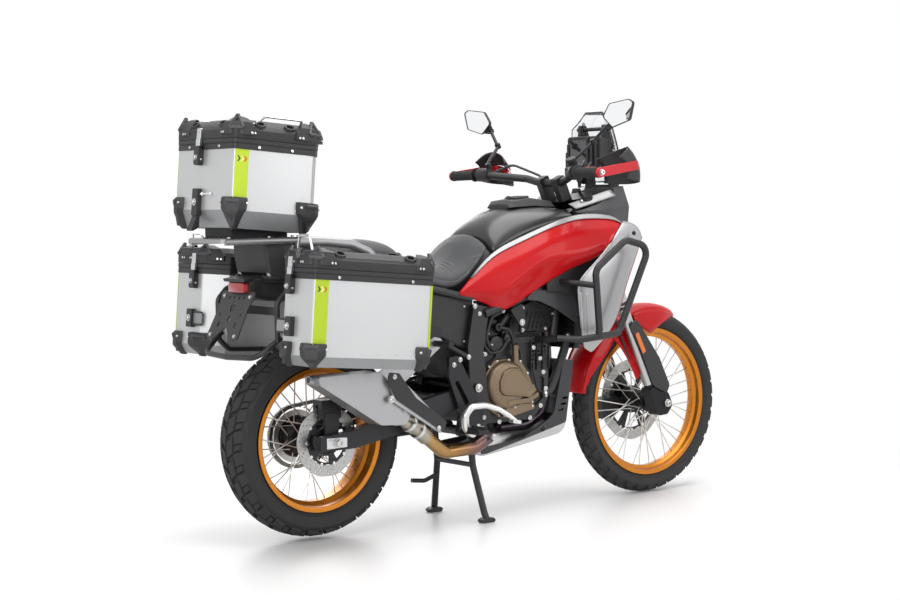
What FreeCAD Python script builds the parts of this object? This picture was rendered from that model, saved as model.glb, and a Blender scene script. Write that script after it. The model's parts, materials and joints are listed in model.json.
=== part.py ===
import FreeCAD, Part
import math
import os
from types import SimpleNamespace
from FreeCAD import Placement, Rotation, Vector

# Adventure motorcycle on its centre stand, with two side cases and a top case.
# Millimetres and degrees. Each sub-part is drawn from the datum, the point on the floor below the
# rear axle: x forward, y to the rider's left, z up. The front axle stays at its x and a change of
# wheelbase moves the rear wheel, with the swingarm's and chain's rear ends, the rear caliper and the
# rack's loop behind the wheel. Fork parts are drawn from the front axle, with z up along the fork
# legs. Every placement carries the datum to the model's own origin, the middle of the motorcycle's
# footprint.

SIZES = {
    # whole motorcycle
    "datum_x": -736.5, "front_axle_x": 1520.0, "wheelbase": 1520.0, "stand_lift": 8.0,
    # rear wheel
    "rear_tyre_radius": 330.0, "rear_tyre_width": 150.0, "rear_rim_radius": 242.5,
    "rear_rim_width": 124.0, "rear_hub_radius": 34.0, "rear_flange_radius": 52.0,
    "rear_flange_spread": 76.0, "rear_disc_radius": 118.0, "rear_disc_y": -100.0,
    "sprocket_radius": 104.0, "chain_y": 92.0, "chain_pitch": 15.875, "chain_plate": 6.5, "rear_axle_radius": 11.0,
    # front wheel
    "front_tyre_radius": 349.0, "front_tyre_width": 92.0, "front_rim_radius": 280.5,
    "front_rim_width": 68.0, "front_hub_radius": 26.0, "front_flange_radius": 42.0,
    "front_flange_spread": 60.0, "front_disc_radius": 155.0, "front_disc_y": 70.0,
    "front_axle_radius": 10.0, "tread_crown": 12.0, "lug_depth": 8.0, "carcass": 11.0, "spoke_radius": 2.2,
    "spokes_per_side": 18.0, "disc_thickness": 5.0, "bearing_gap": 0.4,
    # fork and steering, along and across the legs
    "rake": 24.0, "fork_lead": 32.0, "clamp_offset": 30.0, "leg_spacing": 210.0,
    "stanchion_radius": 21.5, "fork_tube_radius": 27.0, "fork_tube_start": 420.0,
    "lower_clamp_up": 660.0, "upper_clamp_up": 850.0, "clamp_height": 30.0, "stem_radius": 15.0,
    "bar_up": 949.0, "bar_radius": 14.0, "grip_radius": 17.0, "grip_end_y": 415.0,
    "steering_clearance": 152.0,
    # engine and frame
    "engine_half_width": 138.0, "frame_plate_y": 150.0, "frame_plate": 16.0,
    "head_tube_radius": 33.0, "spar_radius": 19.0, "subframe_radius": 13.0,
    "pivot_x": 583.0, "pivot_z": 478.0, "pivot_radius": 9.0,
    "swingarm_inside": 133.0, "swingarm_outside": 163.0,
    # stands
    "stand_pivot_x": 596.0, "stand_pivot_z": 318.0, "stand_foot_x": 626.0,
    "stand_half_width": 104.0, "stand_tube_radius": 12.0,
    "side_stand_x": 690.0, "side_stand_y": 168.0, "side_stand_z": 300.0, "side_stand_splay": 15.0,
    # tubes and panels
    "crash_bar_radius": 12.5, "rack_tube_radius": 9.0, "panel": 5.0, "plate": 4.0,
    # side cases
    "pannier_rear_x": -275.0, "pannier_length": 455.0, "pannier_outer_y": 432.0,
    "number_plate_bolt_y": 80.0, "number_plate_bolt_radius": 3.3,
    "pannier_inner_y": 200.0, "pannier_bottom_z": 622.0, "pannier_height": 308.0,
    "pannier_lid_height": 55.0, "pannier_bend": 33.0,
    # top case
    "top_case_rear_x": -400.0, "top_case_length": 325.0, "top_case_half_width": 180.0,
    "top_case_bottom_z": 1057.0, "top_case_height": 283.0,
    "top_case_lid_height": 62.0, "top_case_bend": 55.0, "rack_top_z": 1018.0,
    "case_tilt": 5.0, "case_wall": 3.0, "case_taper": 26.0, "case_band": 34.0, "lid_gap": 0.6, "lid_rim": 30.0,
    "hinge_radius": 6.0,
}

doc = FreeCAD.newDocument("AdventureMotorcycle")
sheet = doc.addObject("Spreadsheet::Sheet", "Sizes")
for row, (alias, value) in enumerate(SIZES.items(), start=1):
    sheet.set(f"A{row}", alias)
    sheet.set(f"B{row}", str(value))
    sheet.setAlias(f"B{row}", alias)
doc.recompute()
size = SimpleNamespace(**{alias: float(sheet.get(alias)) for alias in SIZES})
PARTS = []
MADE = {}

rear_axle_x = size.front_axle_x - size.wheelbase
rear_axle_z = size.rear_tyre_radius + size.stand_lift
front_axle_z = size.front_tyre_radius
axis_back = size.fork_lead + size.clamp_offset
leg_y = size.leg_spacing / 2
REAR_HUB = ("Sizes.datum_x + Sizes.front_axle_x - Sizes.wheelbase", "0",
            "Sizes.rear_tyre_radius + Sizes.stand_lift")
FRONT_HUB = ("Sizes.datum_x + Sizes.front_axle_x", "0", "Sizes.front_tyre_radius")
DATUM = ("Sizes.datum_x", "0", "0")


# ---------------------------------------------------------------- outlines and paths

def corners(rows):
    """Lines and arcs of a closed outline. Columns: across, up, radius of the corner."""
    points = [Vector(a, b, 0) for a, b, _ in rows]
    ends = []
    for i, (point, (_, _, radius)) in enumerate(zip(points, rows)):
        back = (points[i - 1] - point).normalize()
        ahead = (points[(i + 1) % len(points)] - point).normalize()
        if not radius:
            ends.append((point, None, point))
            continue
        half = back.getAngle(ahead) / 2
        run = radius / math.tan(half)
        middle = point + (back + ahead).normalize() * (radius / math.sin(half) - radius)
        ends.append((point + back * run, middle, point + ahead * run))
    lines = []
    for i, (start, middle, stop) in enumerate(ends):
        if middle is not None:
            lines.append(Part.Arc(start, middle, stop))
        following = ends[(i + 1) % len(ends)][0]
        if (following - stop).Length > 1e-6:
            lines.append(Part.LineSegment(stop, following))
    return lines


def wire(rows):
    return Part.Wire([line.toShape() for line in corners(rows)])


def side_plate(rows, y_from, y_to):
    """A plate between two y values, from an outline in x and z."""
    face = Part.Face(wire(rows))
    face.rotate(Vector(), Vector(1, 0, 0), 90)
    face.translate(Vector(0, y_from, 0))
    return face.extrude(Vector(0, y_to - y_from, 0))


def across(rows, x):
    """A closed outline in y and z at one x."""
    ring = wire(rows)
    ring.rotate(Vector(), Vector(1, 1, 1), 120)
    ring.translate(Vector(x, 0, 0))
    return ring


def body_of(stations):
    """A straight-sided loft, symmetric about the centre plane.
    Columns: x, half width and height of the top, of the widest line and of the bottom."""
    rings = []
    for x, top_y, top_z, wide_y, wide_z, low_y, low_z in stations:
        right = [(-top_y, top_z, 0), (-wide_y, wide_z, 0), (-low_y, low_z, 0)]
        left = [(-y, z, r) for y, z, r in reversed(right)]
        rings.append(across(right + left, x))
    return Part.makeLoft(rings, True, True)


def route(points, bend):
    """A wire along the points, with an arc at every corner."""
    points = [Vector(*point) for point in points]
    at, edges = points[0], []
    for before, corner, after in zip(points, points[1:], points[2:]):
        back, ahead = before - corner, after - corner
        half = back.getAngle(ahead) / 2
        run = min(bend / math.tan(half), 0.45 * back.Length, 0.45 * ahead.Length)
        radius = run * math.tan(half)
        back.normalize()
        ahead.normalize()
        start, stop = corner + back * run, corner + ahead * run
        middle = corner + (back + ahead).normalize() * (radius / math.sin(half) - radius)
        edges.append(Part.LineSegment(at, start).toShape())
        edges.append(Part.Arc(start, middle, stop).toShape())
        at = stop
    edges.append(Part.LineSegment(at, points[-1]).toShape())
    return Part.Wire(edges)


def tube(points, radius, bend=45.0):
    start = Vector(*points[0])
    if len(points) == 2:
        run = Vector(*points[1]) - start
        return Part.makeCylinder(radius, run.Length, start, run)
    path = route(points, bend)
    ring = Part.Wire([Part.makeCircle(radius, start, Vector(*points[1]) - start)])
    return path.makePipeShell([ring], True, False)


def rod(start, stop, radius):
    return tube([start, stop], radius)


def box(x_from, x_to, y_from, y_to, z_from, z_to):
    corner = Vector(x_from, y_from, z_from)
    return Part.makeBox(x_to - x_from, y_to - y_from, z_to - z_from, corner)


def mirrored(shape):
    return shape.mirror(Vector(), Vector(0, 1, 0))


def both(shape):
    """A right-hand shape with its left-hand twin."""
    return Part.makeCompound([shape, mirrored(shape)])


def fused(*shapes):
    return shapes[0].multiFuse(list(shapes[1:])).removeSplitter()


def cut(shape, *tools):
    for tool in tools:
        shape = shape.cut(tool)
    return shape


# ---------------------------------------------------------------- the fork's own frame

rake = math.radians(size.rake)
FORK_TURN = Rotation(Vector(0, 1, 0), -size.rake)
FORK = Placement(Vector(size.front_axle_x, 0, front_axle_z), FORK_TURN)


def fork_point(ahead, y, up):
    """A point given across and along the fork legs, as seen from the datum."""
    return FORK.multVec(Vector(ahead, y, up))


def steering_sweep(radius, low, high):
    """The round space about the steering axis that the fork turns in."""
    foot = fork_point(-axis_back, 0, low)
    head = fork_point(-axis_back, 0, high)
    return Part.makeCylinder(radius, (head - foot).Length, foot, head - foot)


# ---------------------------------------------------------------- document objects

def place(thing, where, turn=None):
    for axis, formula in zip("xyz", where):
        thing.setExpression(f"Placement.Base.{axis}", formula)
    if turn:
        thing.Placement = Placement(thing.Placement.Base, turn)


def free_form(name, shape, placement=None):
    """A sub-part of swept tubes or lofts, which takes its sizes from the sheet."""
    thing = doc.addObject("Part::Feature", name)
    thing.Label = name
    thing.Shape = shape
    posed = shape.copy()
    posed.Placement = (placement or Placement()).multiply(shape.Placement)
    MADE[name] = posed
    thing.Placement = Placement(Vector(size.datum_x, 0, 0), Rotation()).multiply(posed.Placement)
    PARTS.append(thing)
    return thing


def against(shape, *names):
    """A shape with its seats cut by the sub-parts that are already made, both about the datum."""
    return cut(shape, *[MADE[name] for name in names])


def new_body(name, where=DATUM, turn=None, kept=True):
    body = doc.addObject("PartDesign::Body", name)
    body.Label = name
    place(body, where, turn)
    if kept:
        PARTS.append(body)
    return body


def sketch(body, role, lines, offset="0"):
    drawing = body.newObject("Sketcher::SketchObject", body.Name + "Outline")
    plane = next(feature for feature in body.Origin.OriginFeatures if feature.Role == role)
    drawing.AttachmentSupport = (plane, "")
    drawing.MapMode = "FlatFace"
    drawing.setExpression("AttachmentOffset.Base.z", offset)
    drawing.addGeometry(lines, False)
    return drawing


def pad(body, drawing, length, both_ways=False):
    feature = body.newObject("PartDesign::Pad", body.Name + "Pad")
    feature.Profile = drawing
    feature.setExpression("Length", length)
    feature.Midplane = both_ways
    drawing.Visibility = False
    return feature


def pocket(body, drawing, length):
    feature = body.newObject("PartDesign::Pocket", body.Name + "Pocket")
    feature.Profile = drawing
    feature.setExpression("Length", length)
    feature.Midplane = True
    return feature


def turned(name, rows, where, kept=True):
    """A body turned about the wheel axis. Columns: along the axle, radius, radius of the corner."""
    body = new_body(name, where, kept=kept)
    drawing = sketch(body, "YZ_Plane", corners(rows))
    feature = body.newObject("PartDesign::Revolution", name + "Turn")
    feature.Profile = drawing
    feature.ReferenceAxis = (drawing, ["H_Axis"])
    feature.Angle = 360.0
    return body


# ---------------------------------------------------------------- wheels

def tread_line(radius, width):
    """Half the tread's outline: distance from the middle and radius, at its crown and its shoulder."""
    return (width * 0.2, radius), (width * 0.44, radius - size.tread_crown - 10)


def tyre_rows(radius, width, rim_radius, rim_width):
    """The carcass below the lugs, hollow, with its beads between the rim's flanges."""
    half, bead = width / 2, rim_width / 2 - 7
    seat, wall = rim_radius - 10, size.carcass
    (crown_y, crown), (side_y, shoulder) = [(y, r - size.lug_depth) for y, r in tread_line(radius, width)]
    middle = (rim_radius + shoulder) / 2
    right = [(crown_y, crown, 30), (side_y, shoulder, 8), (half, middle, 18), (bead, rim_radius + 4, 0),
             (bead, seat, 0)]
    inside = [(bead - wall, seat, 0), (half - wall, middle, 0), (half * 0.75 - 3, shoulder - wall + 4, 0)]
    return ([(-y, r, bend) for y, r, bend in reversed(right)] + right
            + inside + [(-y, r, bend) for y, r, bend in reversed(inside)])


def lug_ring(radius, width, count, first, y_from, y_to):
    """Moulded blocks round the tread between two y values, on a low band that joins them."""
    (crown_y, crown), (side_y, shoulder) = tread_line(radius, width)
    outlines = []
    for y in (y_from, y_to):
        top = crown - (crown - shoulder) * max(0, abs(y) - crown_y) / (side_y - crown_y)
        points = []
        for i in range(count):
            turns = [2 * math.pi * (i + first + share) / count for share in (-0.34, -0.3, 0.3, 0.34)]
            points += [Vector(r * math.cos(turn), y, r * math.sin(turn))
                       for turn, r in zip(turns, (top - size.lug_depth + 2, top, top, top - size.lug_depth + 2))]
        outlines.append(Part.makePolygon(points + points[:1]))
    core = Part.makeCylinder(radius - 34, width, Vector(0, -width / 2, 0), Vector(0, 1, 0))
    return Part.makeLoft(outlines, True, True).cut(core)


def rim_rows(rim_radius, rim_width):
    """An open channel: two flanges, two bead seats and the deep centre that holds the spokes."""
    half, seat = rim_width / 2, rim_radius - 10.5
    well = rim_radius - 27
    outer = [(-half, rim_radius, 0), (-half + 6, rim_radius, 2), (-half + 6, seat, 2),
             (-half * 0.45, seat - 3, 2), (-half * 0.3, well, 2), (half * 0.3, well, 2),
             (half * 0.45, seat - 3, 2), (half - 6, seat, 2), (half - 6, rim_radius, 2),
             (half, rim_radius, 0)]
    inner = [(half, seat - 6, 4), (half * 0.5, seat - 10, 3), (half * 0.34, well - 6, 3),
             (-half * 0.34, well - 6, 3), (-half * 0.5, seat - 10, 3), (-half, seat - 6, 4)]
    return outer + inner


def spokes(rim_radius, flange_radius, spread):
    """Crossed spokes from two hub flanges to the middle of the rim, as six-sided rods."""
    count = int(size.spokes_per_side)
    shapes = []
    for side in (-1, 1):
        for i in range(count):
            lean = 52 if i % 2 else -52
            hub_turn = math.radians(360 * (i + 0.25 * side) / count)
            rim_turn = hub_turn + math.radians(lean)
            start = Vector((flange_radius - 6) * math.cos(rim_turn),
                           side * (spread / 2 + (1 if i % 2 else -3)),
                           (flange_radius - 6) * math.sin(rim_turn))
            stop = Vector(rim_radius * math.cos(hub_turn), side * 5, rim_radius * math.sin(hub_turn))
            run = stop - start
            base = Part.Wire(Part.makePolygon([Vector(size.spoke_radius * math.cos(math.radians(60 * k)),
                             size.spoke_radius * math.sin(math.radians(60 * k)), 0) for k in range(7)]))
            prism = Part.Face(base).extrude(Vector(0, 0, run.Length))
            prism.Placement = Placement(start, Rotation(Vector(0, 0, 1), run))
            shapes.append(prism)
    return shapes


def wheel(end, where, radius, width, rim_radius, rim_width, hub_rows, flange_radius, spread, axle_z, x,
          lugs, lug_rows):
    rim = turned(end + "_rim", rim_rows(rim_radius, rim_width), where)
    core = turned(end + "_hub_core", hub_rows, where, kept=False)
    carcass = turned(end + "_carcass", tyre_rows(radius, width, rim_radius, rim_width), where, kept=False)
    doc.recompute()
    hub, ring, tyre = [thing.Shape.copy() for thing in (core, rim, carcass)]
    for shape in (hub, ring, tyre):
        shape.translate(-rim.Placement.Base)
    middle = Placement(Vector(x, 0, axle_z), Rotation())
    free_form(end + "_tyre", tyre.multiFuse([lug_ring(radius, width, lugs, *row) for row in lug_rows]), middle)
    laced = cut(fused(hub, *spokes(rim_radius - 30, flange_radius, spread)), ring)
    bore = Part.makeCylinder(hub_rows[0][1], 400, Vector(0, -200, 0), Vector(0, 1, 0))
    doc.removeObject(core.Name)
    doc.removeObject(carcass.Name)
    free_form(end + "_hub", cut(laced, bore), middle)


# first lug's place, y from and to
rear_lugs = [(0, -24, 24), (0.5, 31, 65), (0.5, -65, -31)]
front_lugs = [(0, -15, 15), (0.5, 19, 40), (0.5, -40, -19)]
rear_bore = size.rear_axle_radius + size.bearing_gap
disc_face = size.rear_disc_y + size.disc_thickness / 2
rear_hub_rows = [
    (disc_face, rear_bore, 0), (disc_face, 46, 0), (disc_face + 9, 46, 0),
    (-size.rear_flange_spread / 2 - 8, size.rear_hub_radius, 4),
    (-size.rear_flange_spread / 2 - 5, size.rear_flange_radius, 2),
    (-size.rear_flange_spread / 2 + 3, size.rear_flange_radius, 2),
    (-size.rear_flange_spread / 2 + 8, size.rear_hub_radius, 4),
    (size.rear_flange_spread / 2 - 8, size.rear_hub_radius, 4),
    (size.rear_flange_spread / 2 - 3, size.rear_flange_radius, 2),
    (size.rear_flange_spread / 2 + 5, size.rear_flange_radius, 2),
    (size.rear_flange_spread / 2 + 8, 50, 2), (size.chain_y - 4, 64, 2),
    (size.chain_y - 3, size.sprocket_radius - 13, 0), (size.chain_y + 3, size.sprocket_radius - 13, 0),
    (size.chain_y + 4, 40, 2), (size.chain_y + 8, rear_bore + 10, 0), (size.chain_y + 8, rear_bore, 0)]
wheel("rear", REAR_HUB, size.rear_tyre_radius, size.rear_tyre_width, size.rear_rim_radius,
      size.rear_rim_width, rear_hub_rows, size.rear_flange_radius, size.rear_flange_spread,
      rear_axle_z, rear_axle_x, 28, rear_lugs)

front_bore = size.front_axle_radius + size.bearing_gap
front_face = size.front_disc_y - size.disc_thickness / 2
front_hub_rows = [
    (-58, front_bore, 0), (-58, 20, 0), (-size.front_flange_spread / 2 - 6, size.front_hub_radius, 3),
    (-size.front_flange_spread / 2 - 4, size.front_flange_radius, 2),
    (-size.front_flange_spread / 2 + 2, size.front_flange_radius, 2),
    (-size.front_flange_spread / 2 + 6, size.front_hub_radius, 3),
    (size.front_flange_spread / 2 - 6, size.front_hub_radius, 3),
    (size.front_flange_spread / 2 - 2, size.front_flange_radius, 2),
    (size.front_flange_spread / 2 + 4, size.front_flange_radius, 2),
    (size.front_flange_spread / 2 + 8, 36, 2), (front_face - 8, 44, 2), (front_face, 44, 0),
    (front_face, front_bore, 0)]
wheel("front", FRONT_HUB, size.front_tyre_radius, size.front_tyre_width, size.front_rim_radius,
      size.front_rim_width, front_hub_rows, size.front_flange_radius, size.front_flange_spread,
      front_axle_z, size.front_axle_x, 36, front_lugs)


def brake_disc(name, where, radius, y, windows):
    """A flat ring with rounded windows about its mounting ring."""
    body = new_body(name, where)
    circles = [Part.Circle(Vector(), Vector(0, 0, 1), radius), Part.Circle(Vector(), Vector(0, 0, 1), 24)]
    plane_offset = {"rear_disc": "-Sizes.rear_disc_y", "front_disc": "-Sizes.front_disc_y"}[name]
    pad(body, sketch(body, "XZ_Plane", circles, plane_offset), "Sizes.disc_thickness", True)
    inner, outer = 50, radius - 34
    hole = [(inner, -16, 6), (outer - 4, -19, 8), (outer, 0, 20), (outer - 4, 19, 8), (inner, 16, 6)]
    window = pocket(body, sketch(body, "XZ_Plane", corners(hole), plane_offset), "Sizes.disc_thickness * 2")
    pattern = body.newObject("PartDesign::PolarPattern", name + "Windows")
    pattern.Originals = [window]
    pattern.Axis = (next(f for f in body.Origin.OriginFeatures if f.Role == "Y_Axis"), [""])
    pattern.Occurrences = windows
    body.Tip = pattern


brake_disc("rear_disc", REAR_HUB, size.rear_disc_radius, size.rear_disc_y, 5)
brake_disc("front_disc", FRONT_HUB, size.front_disc_radius, size.front_disc_y, 6)


# ---------------------------------------------------------------- frame, swingarm and stands

def frame():
    head_low, head_high = fork_point(-axis_back, 0, 705), fork_point(-axis_back, 0, 825)
    head = Part.makeCylinder(size.head_tube_radius, (head_high - head_low).Length, head_low,
                             head_high - head_low)
    inside = Part.makeCylinder(size.stem_radius + size.bearing_gap, 400,
                               fork_point(-axis_back, 0, 600), head_high - head_low)
    y, thick = size.frame_plate_y, size.frame_plate
    neck = fork_point(-axis_back - 20, 0, 748)
    spar = tube([(neck.x, -14, neck.z), (1060, -46, neck.z - 40), (950, -y - 8, 830), (620, -y - 8, 735)],
                size.spar_radius, 90)
    plate = side_plate([(575, 770, 10), (640, 755, 12), (612, 600, 30), (632, 470, 30), (640, 350, 20),
                        (570, 336, 14), (545, 420, 30), (552, 520, 40), (545, 620, 30)], -y - thick, -y)
    down = tube([(neck.x - 10, -14, neck.z - 14), (1052, -40, neck.z - 90), (990, -120, 770),
                 (960, -128, 640)], 15, 60)
    cross = rod((598, -y - 1, 735), (598, y + 1, 735), 14)
    low_cross = rod((612, -y - 1, 372), (612, y + 1, 372), 9)
    right = fused(spar, plate, down)
    return cut(fused(head, right, mirrored(right), cross, low_cross), inside)


def subframe():
    upper = tube([(568, -158, 790), (330, -150, 845), (-60, -118, 880), (-225, -85, 885)],
                 size.subframe_radius, 120)
    lower = tube([(544, -158, 590), (330, -150, 700), (60, -128, 848)], size.subframe_radius - 3, 80)
    right = fused(upper, lower)
    bridge = rod((-40, -125, 879), (-40, 125, 879), 9)
    middle = rod((290, -152, 852), (290, 152, 852), 9)
    return fused(right, mirrored(right), bridge, middle)


def swingarm():
    """Two tapering arms, a cross tube ahead of the tyre, and the axle through both arm ends."""
    near, far = size.swingarm_inside, size.swingarm_outside
    x, z = rear_axle_x, rear_axle_z
    outline = [(size.pivot_x + 30, size.pivot_z + 26, 22), (size.pivot_x + 26, size.pivot_z - 34, 22),
               (x / 2 + 330, z + 22, 60), (x + 70, z - 24, 8), (x - 66, z - 26, 8), (x - 66, z + 22, 8),
               (x + 60, z + 34, 10), (x / 2 + 330, z + 108, 80)]
    arm = side_plate(outline, -far, -near)
    arm = cut(arm, Part.makeCylinder(size.pivot_radius, 400, Vector(size.pivot_x, -200, size.pivot_z),
                                     Vector(0, 1, 0)))
    cross = side_plate([(455, 380, 20), (395, 372, 20), (375, 430, 20), (400, 470, 20), (450, 465, 20)],
                       -near, near)
    axle = rod((x, -far - 8, z), (x, far + 8, z), size.rear_axle_radius)
    bolt = rod((size.pivot_x, -far - 12, size.pivot_z), (size.pivot_x, far + 12, size.pivot_z), 9)
    return fused(arm, mirrored(arm), cross, axle, bolt)


def pivot_cut(shape):
    hole = Part.makeCylinder(size.pivot_radius + 4, 400, Vector(size.pivot_x, -200, size.pivot_z),
                             Vector(0, 1, 0))
    return cut(shape, hole)


def centre_stand():
    """Two legs on one pivot tube, spread at the feet, with a cross bar and a tread arm."""
    x, z, foot = size.stand_pivot_x, size.stand_pivot_z, size.stand_foot_x
    y, r = size.stand_half_width, size.stand_tube_radius
    leg = tube([(x, -y, z), (x + 10, -y, z - 120), (foot - 4, -y - 42, 34), (foot, -y - 50, 11)], r, 60)
    shoe = side_plate([(foot - 34, 9, 6), (foot - 22, 0, 5), (foot + 22, 0, 5), (foot + 34, 9, 6),
                       (foot + 18, 18, 4), (foot - 18, 18, 4)], -y - 64, -y - 36)
    cross = rod((x + 9, -y, z - 118), (x + 9, y, z - 118), 9)
    barrel = Part.makeCylinder(17, 2 * y + 26, Vector(x, -y - 13, z), Vector(0, 1, 0))
    tread = tube([(x + 14, y, z - 170), (x - 30, y + 24, z - 196), (x - 84, y + 30, z - 190)], 8, 24)
    hole = Part.makeCylinder(8.4, 400, Vector(x, -200, z), Vector(0, 1, 0))
    return cut(fused(leg, mirrored(leg), shoe, mirrored(shoe), cross, barrel, tread), hole)


def at_side_stand(shape):
    """Puts a shape drawn about the side stand's bolt, along y, onto the splayed bolt."""
    shape.rotate(Vector(), Vector(1, 0, 0), size.side_stand_splay)
    shape.translate(Vector(size.side_stand_x, size.side_stand_y, size.side_stand_z))
    return shape


def side_stand():
    """Folded along the left side, its foot to the rear."""
    eye = Part.makeCylinder(18, 14, Vector(0, -7, 0), Vector(0, 1, 0))
    leg = tube([(-12, 0, 0), (-150, 4, -6), (-252, 8, -12)], 9, 80)
    foot = box(-292, -242, -10, 26, -26, -4)
    hole = Part.makeCylinder(6.8, 60, Vector(0, -30, 0), Vector(0, 1, 0))
    return at_side_stand(cut(fused(eye, leg, foot), hole))


def stand_brackets():
    """Lugs below the frame plates that hold the two stands' pivot bolts."""
    x, z = size.stand_pivot_x, size.stand_pivot_z
    lug = side_plate([(x - 24, z - 20, 16), (x + 24, z - 20, 16), (x + 30, z + 52, 4), (x - 20, z + 52, 4)],
                     -size.stand_half_width - 28, -size.stand_half_width - 18)
    web = box(x - 16, x + 26, -size.frame_plate_y - 2, -size.stand_half_width - 18, z + 42, z + 52)
    bolt = rod((x, -size.stand_half_width - 32, z), (x, size.stand_half_width + 32, z), 8)
    side = side_plate([(588, 352, 6), (size.side_stand_x + 18, size.side_stand_z - 18, 16),
                       (size.side_stand_x + 16, size.side_stand_z + 20, 14), (640, 400, 10), (590, 404, 6)],
                      size.engine_half_width + 1, size.side_stand_y - 16)
    stud = fused(Part.makeCylinder(6, 30, Vector(0, -19, 0), Vector(0, 1, 0)),
                 Part.makeCylinder(14, 9, Vector(0, -19, 0), Vector(0, 1, 0)),
                 Part.makeCylinder(10, 5, Vector(0, 8, 0), Vector(0, 1, 0)))
    right = fused(lug, web)
    return fused(right, mirrored(right), bolt, side, at_side_stand(stud))


def shock():
    spring = rod((470, 0, 530), (560, 0, 705), 33)
    rods = rod((452, 0, 492), (582, 0, 748), 12)
    return fused(spring, rods)


def chain():
    """A roller chain round both sprockets: a plate from pin to pin, by turns outer and inner.
    Gives the chain, and the space that it runs in."""
    y, back, front = size.chain_y, size.sprocket_radius, 34.0
    x, z = size.pivot_x + 62, size.pivot_z + 6
    run = Vector(x - rear_axle_x, z - rear_axle_z, 0)
    lean = math.atan2(run.y, run.x)
    spread = math.asin((back - front) / run.Length)
    up, down = lean + math.pi / 2 - spread, lean - math.pi / 2 + spread

    def loop(extra):
        def on(centre_x, centre_z, radius, turn):
            reach = radius + extra
            return Vector(centre_x + reach * math.cos(turn), centre_z + reach * math.sin(turn), 0)
        lines = [Part.Arc(on(rear_axle_x, rear_axle_z, back, up), on(rear_axle_x, rear_axle_z, back, lean + math.pi),
                          on(rear_axle_x, rear_axle_z, back, down)),
                 Part.LineSegment(on(rear_axle_x, rear_axle_z, back, down), on(x, z, front, down)),
                 Part.Arc(on(x, z, front, down), on(x, z, front, lean), on(x, z, front, up)),
                 Part.LineSegment(on(x, z, front, up), on(rear_axle_x, rear_axle_z, back, up))]
        return Part.Wire([line.toShape() for line in lines])

    def thick(face, half):
        face.rotate(Vector(), Vector(1, 0, 0), 90)
        face.translate(Vector(0, y + half, 0))
        return face.extrude(Vector(0, -2 * half, 0))

    pins_wire = loop(0)
    count = 2 * round(pins_wire.Length / size.chain_pitch / 2)
    pins = pins_wire.discretize(count + 1)
    pins[-1] = pins[0]
    plates = []
    for i in range(count):
        near, far = pins[i], pins[i + 1]
        ahead = (far - near).normalize()
        rise = Vector(-ahead.y, ahead.x, 0) * size.chain_plate
        tip = ahead * size.chain_plate
        outline = [near - tip, near + rise, far + rise, far + tip, far - rise, near - rise, near - tip]
        plates.append(thick(Part.Face(Part.makePolygon(outline)), 5.5 if i % 2 else 7.5))
    return fused(*plates), thick(Part.Face(loop(12)).cut(Part.Face(loop(-12))), 10)


def caliper(radius, y):
    """A caliper straddling the upper edge of a disc at the origin."""
    shell = box(-38, 38, y - 30, y + 24, radius - 40, radius + 22)
    gap = box(-60, 60, y - 6, y + 6, radius - 60, radius + 6)
    return cut(shell, gap)


engine_outline = [(572, 352, 12), (640, 345, 30), (850, 345, 30), (926, 410, 40), (930, 560, 20), (880, 640, 30),
                  (700, 640, 20), (566, 560, 40)]
frame_shape = fused(frame(), stand_brackets())
free_form("frame", pivot_cut(frame_shape))
free_form("subframe", against(subframe(), "frame"))
chain_band, chain_space = chain()
free_form("chain", chain_band)
free_form("swingarm", against(cut(swingarm(), chain_space), "frame"))
free_form("centre_stand", centre_stand())
free_form("side_stand", side_stand())
free_form("shock", against(shock(), "frame"))


# ---------------------------------------------------------------- engine and exhaust

def engine():
    """The crankcase, with the rim of its side face, an oil filter and webs between."""
    half = size.engine_half_width
    block = side_plate(engine_outline, -half + 8, half)
    rim = side_plate(engine_outline, -half, -half + 9)
    dish = [side_plate(rows, -half - 1, -half + 8) for rows in
            ([(600, 566, 12), (690, 614, 12), (690, 578, 10), (640, 548, 10)],
             [(712, 620, 10), (868, 620, 14), (902, 560, 12), (842, 520, 14), (780, 578, 12), (712, 578, 8)],
             [(846, 480, 12), (908, 500, 12), (906, 420, 20), (846, 376, 14)])]
    oil_filter = rod((920, 0, 470), (962, 0, 476), 30)
    return cut(fused(block, rim.cut(Part.makeCompound(dish)), oil_filter), frame_shape, frame_pivot())


def frame_pivot():
    return Part.makeCylinder(42, 500, Vector(size.pivot_x, -250, size.pivot_z), Vector(0, 1, 0))


def engine_covers():
    """The clutch cover with its raised nose and screw bosses, the alternator and the sprocket cover."""
    half = size.engine_half_width
    clutch = side_plate([(640, 440, 40), (660, 405, 40), (780, 402, 50), (828, 450, 50), (815, 520, 50),
                         (760, 562, 50), (660, 548, 50), (628, 490, 40)], -half - 42, -half)
    nose = side_plate([(690, 448, 22), (795, 446, 26), (785, 505, 30), (725, 545, 30), (690, 500, 25)],
                      -half - 54, -half - 41)
    bosses = [rod((x, -half, z), (x, -half - 36, z), 8) for x, z in
              ((650, 421), (700, 405), (756, 405), (806, 431), (822, 482), (802, 537), (752, 560), (700, 553),
               (652, 533), (634, 478))]
    alternator = Part.makeCylinder(74, 40, Vector(765, half, 480), Vector(0, 1, 0))
    alternator_nose = Part.makeCylinder(46, 10, Vector(765, half + 40, 480), Vector(0, 1, 0))
    ears = [rod((765 + 74 * math.cos(turn), half, 480 + 74 * math.sin(turn)),
                (765 + 74 * math.cos(turn), half + 34, 480 + 74 * math.sin(turn)), 8)
            for turn in (2 * math.pi * k / 8 for k in range(8))]
    sprocket = side_plate([(602, 520, 20), (690, 530, 24), (690, 420, 24), (640, 410, 16), (602, 470, 14)],
                          half, half + 11)
    return [fused(clutch, nose, *bosses), fused(alternator, alternator_nose, *ears), sprocket]


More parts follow.
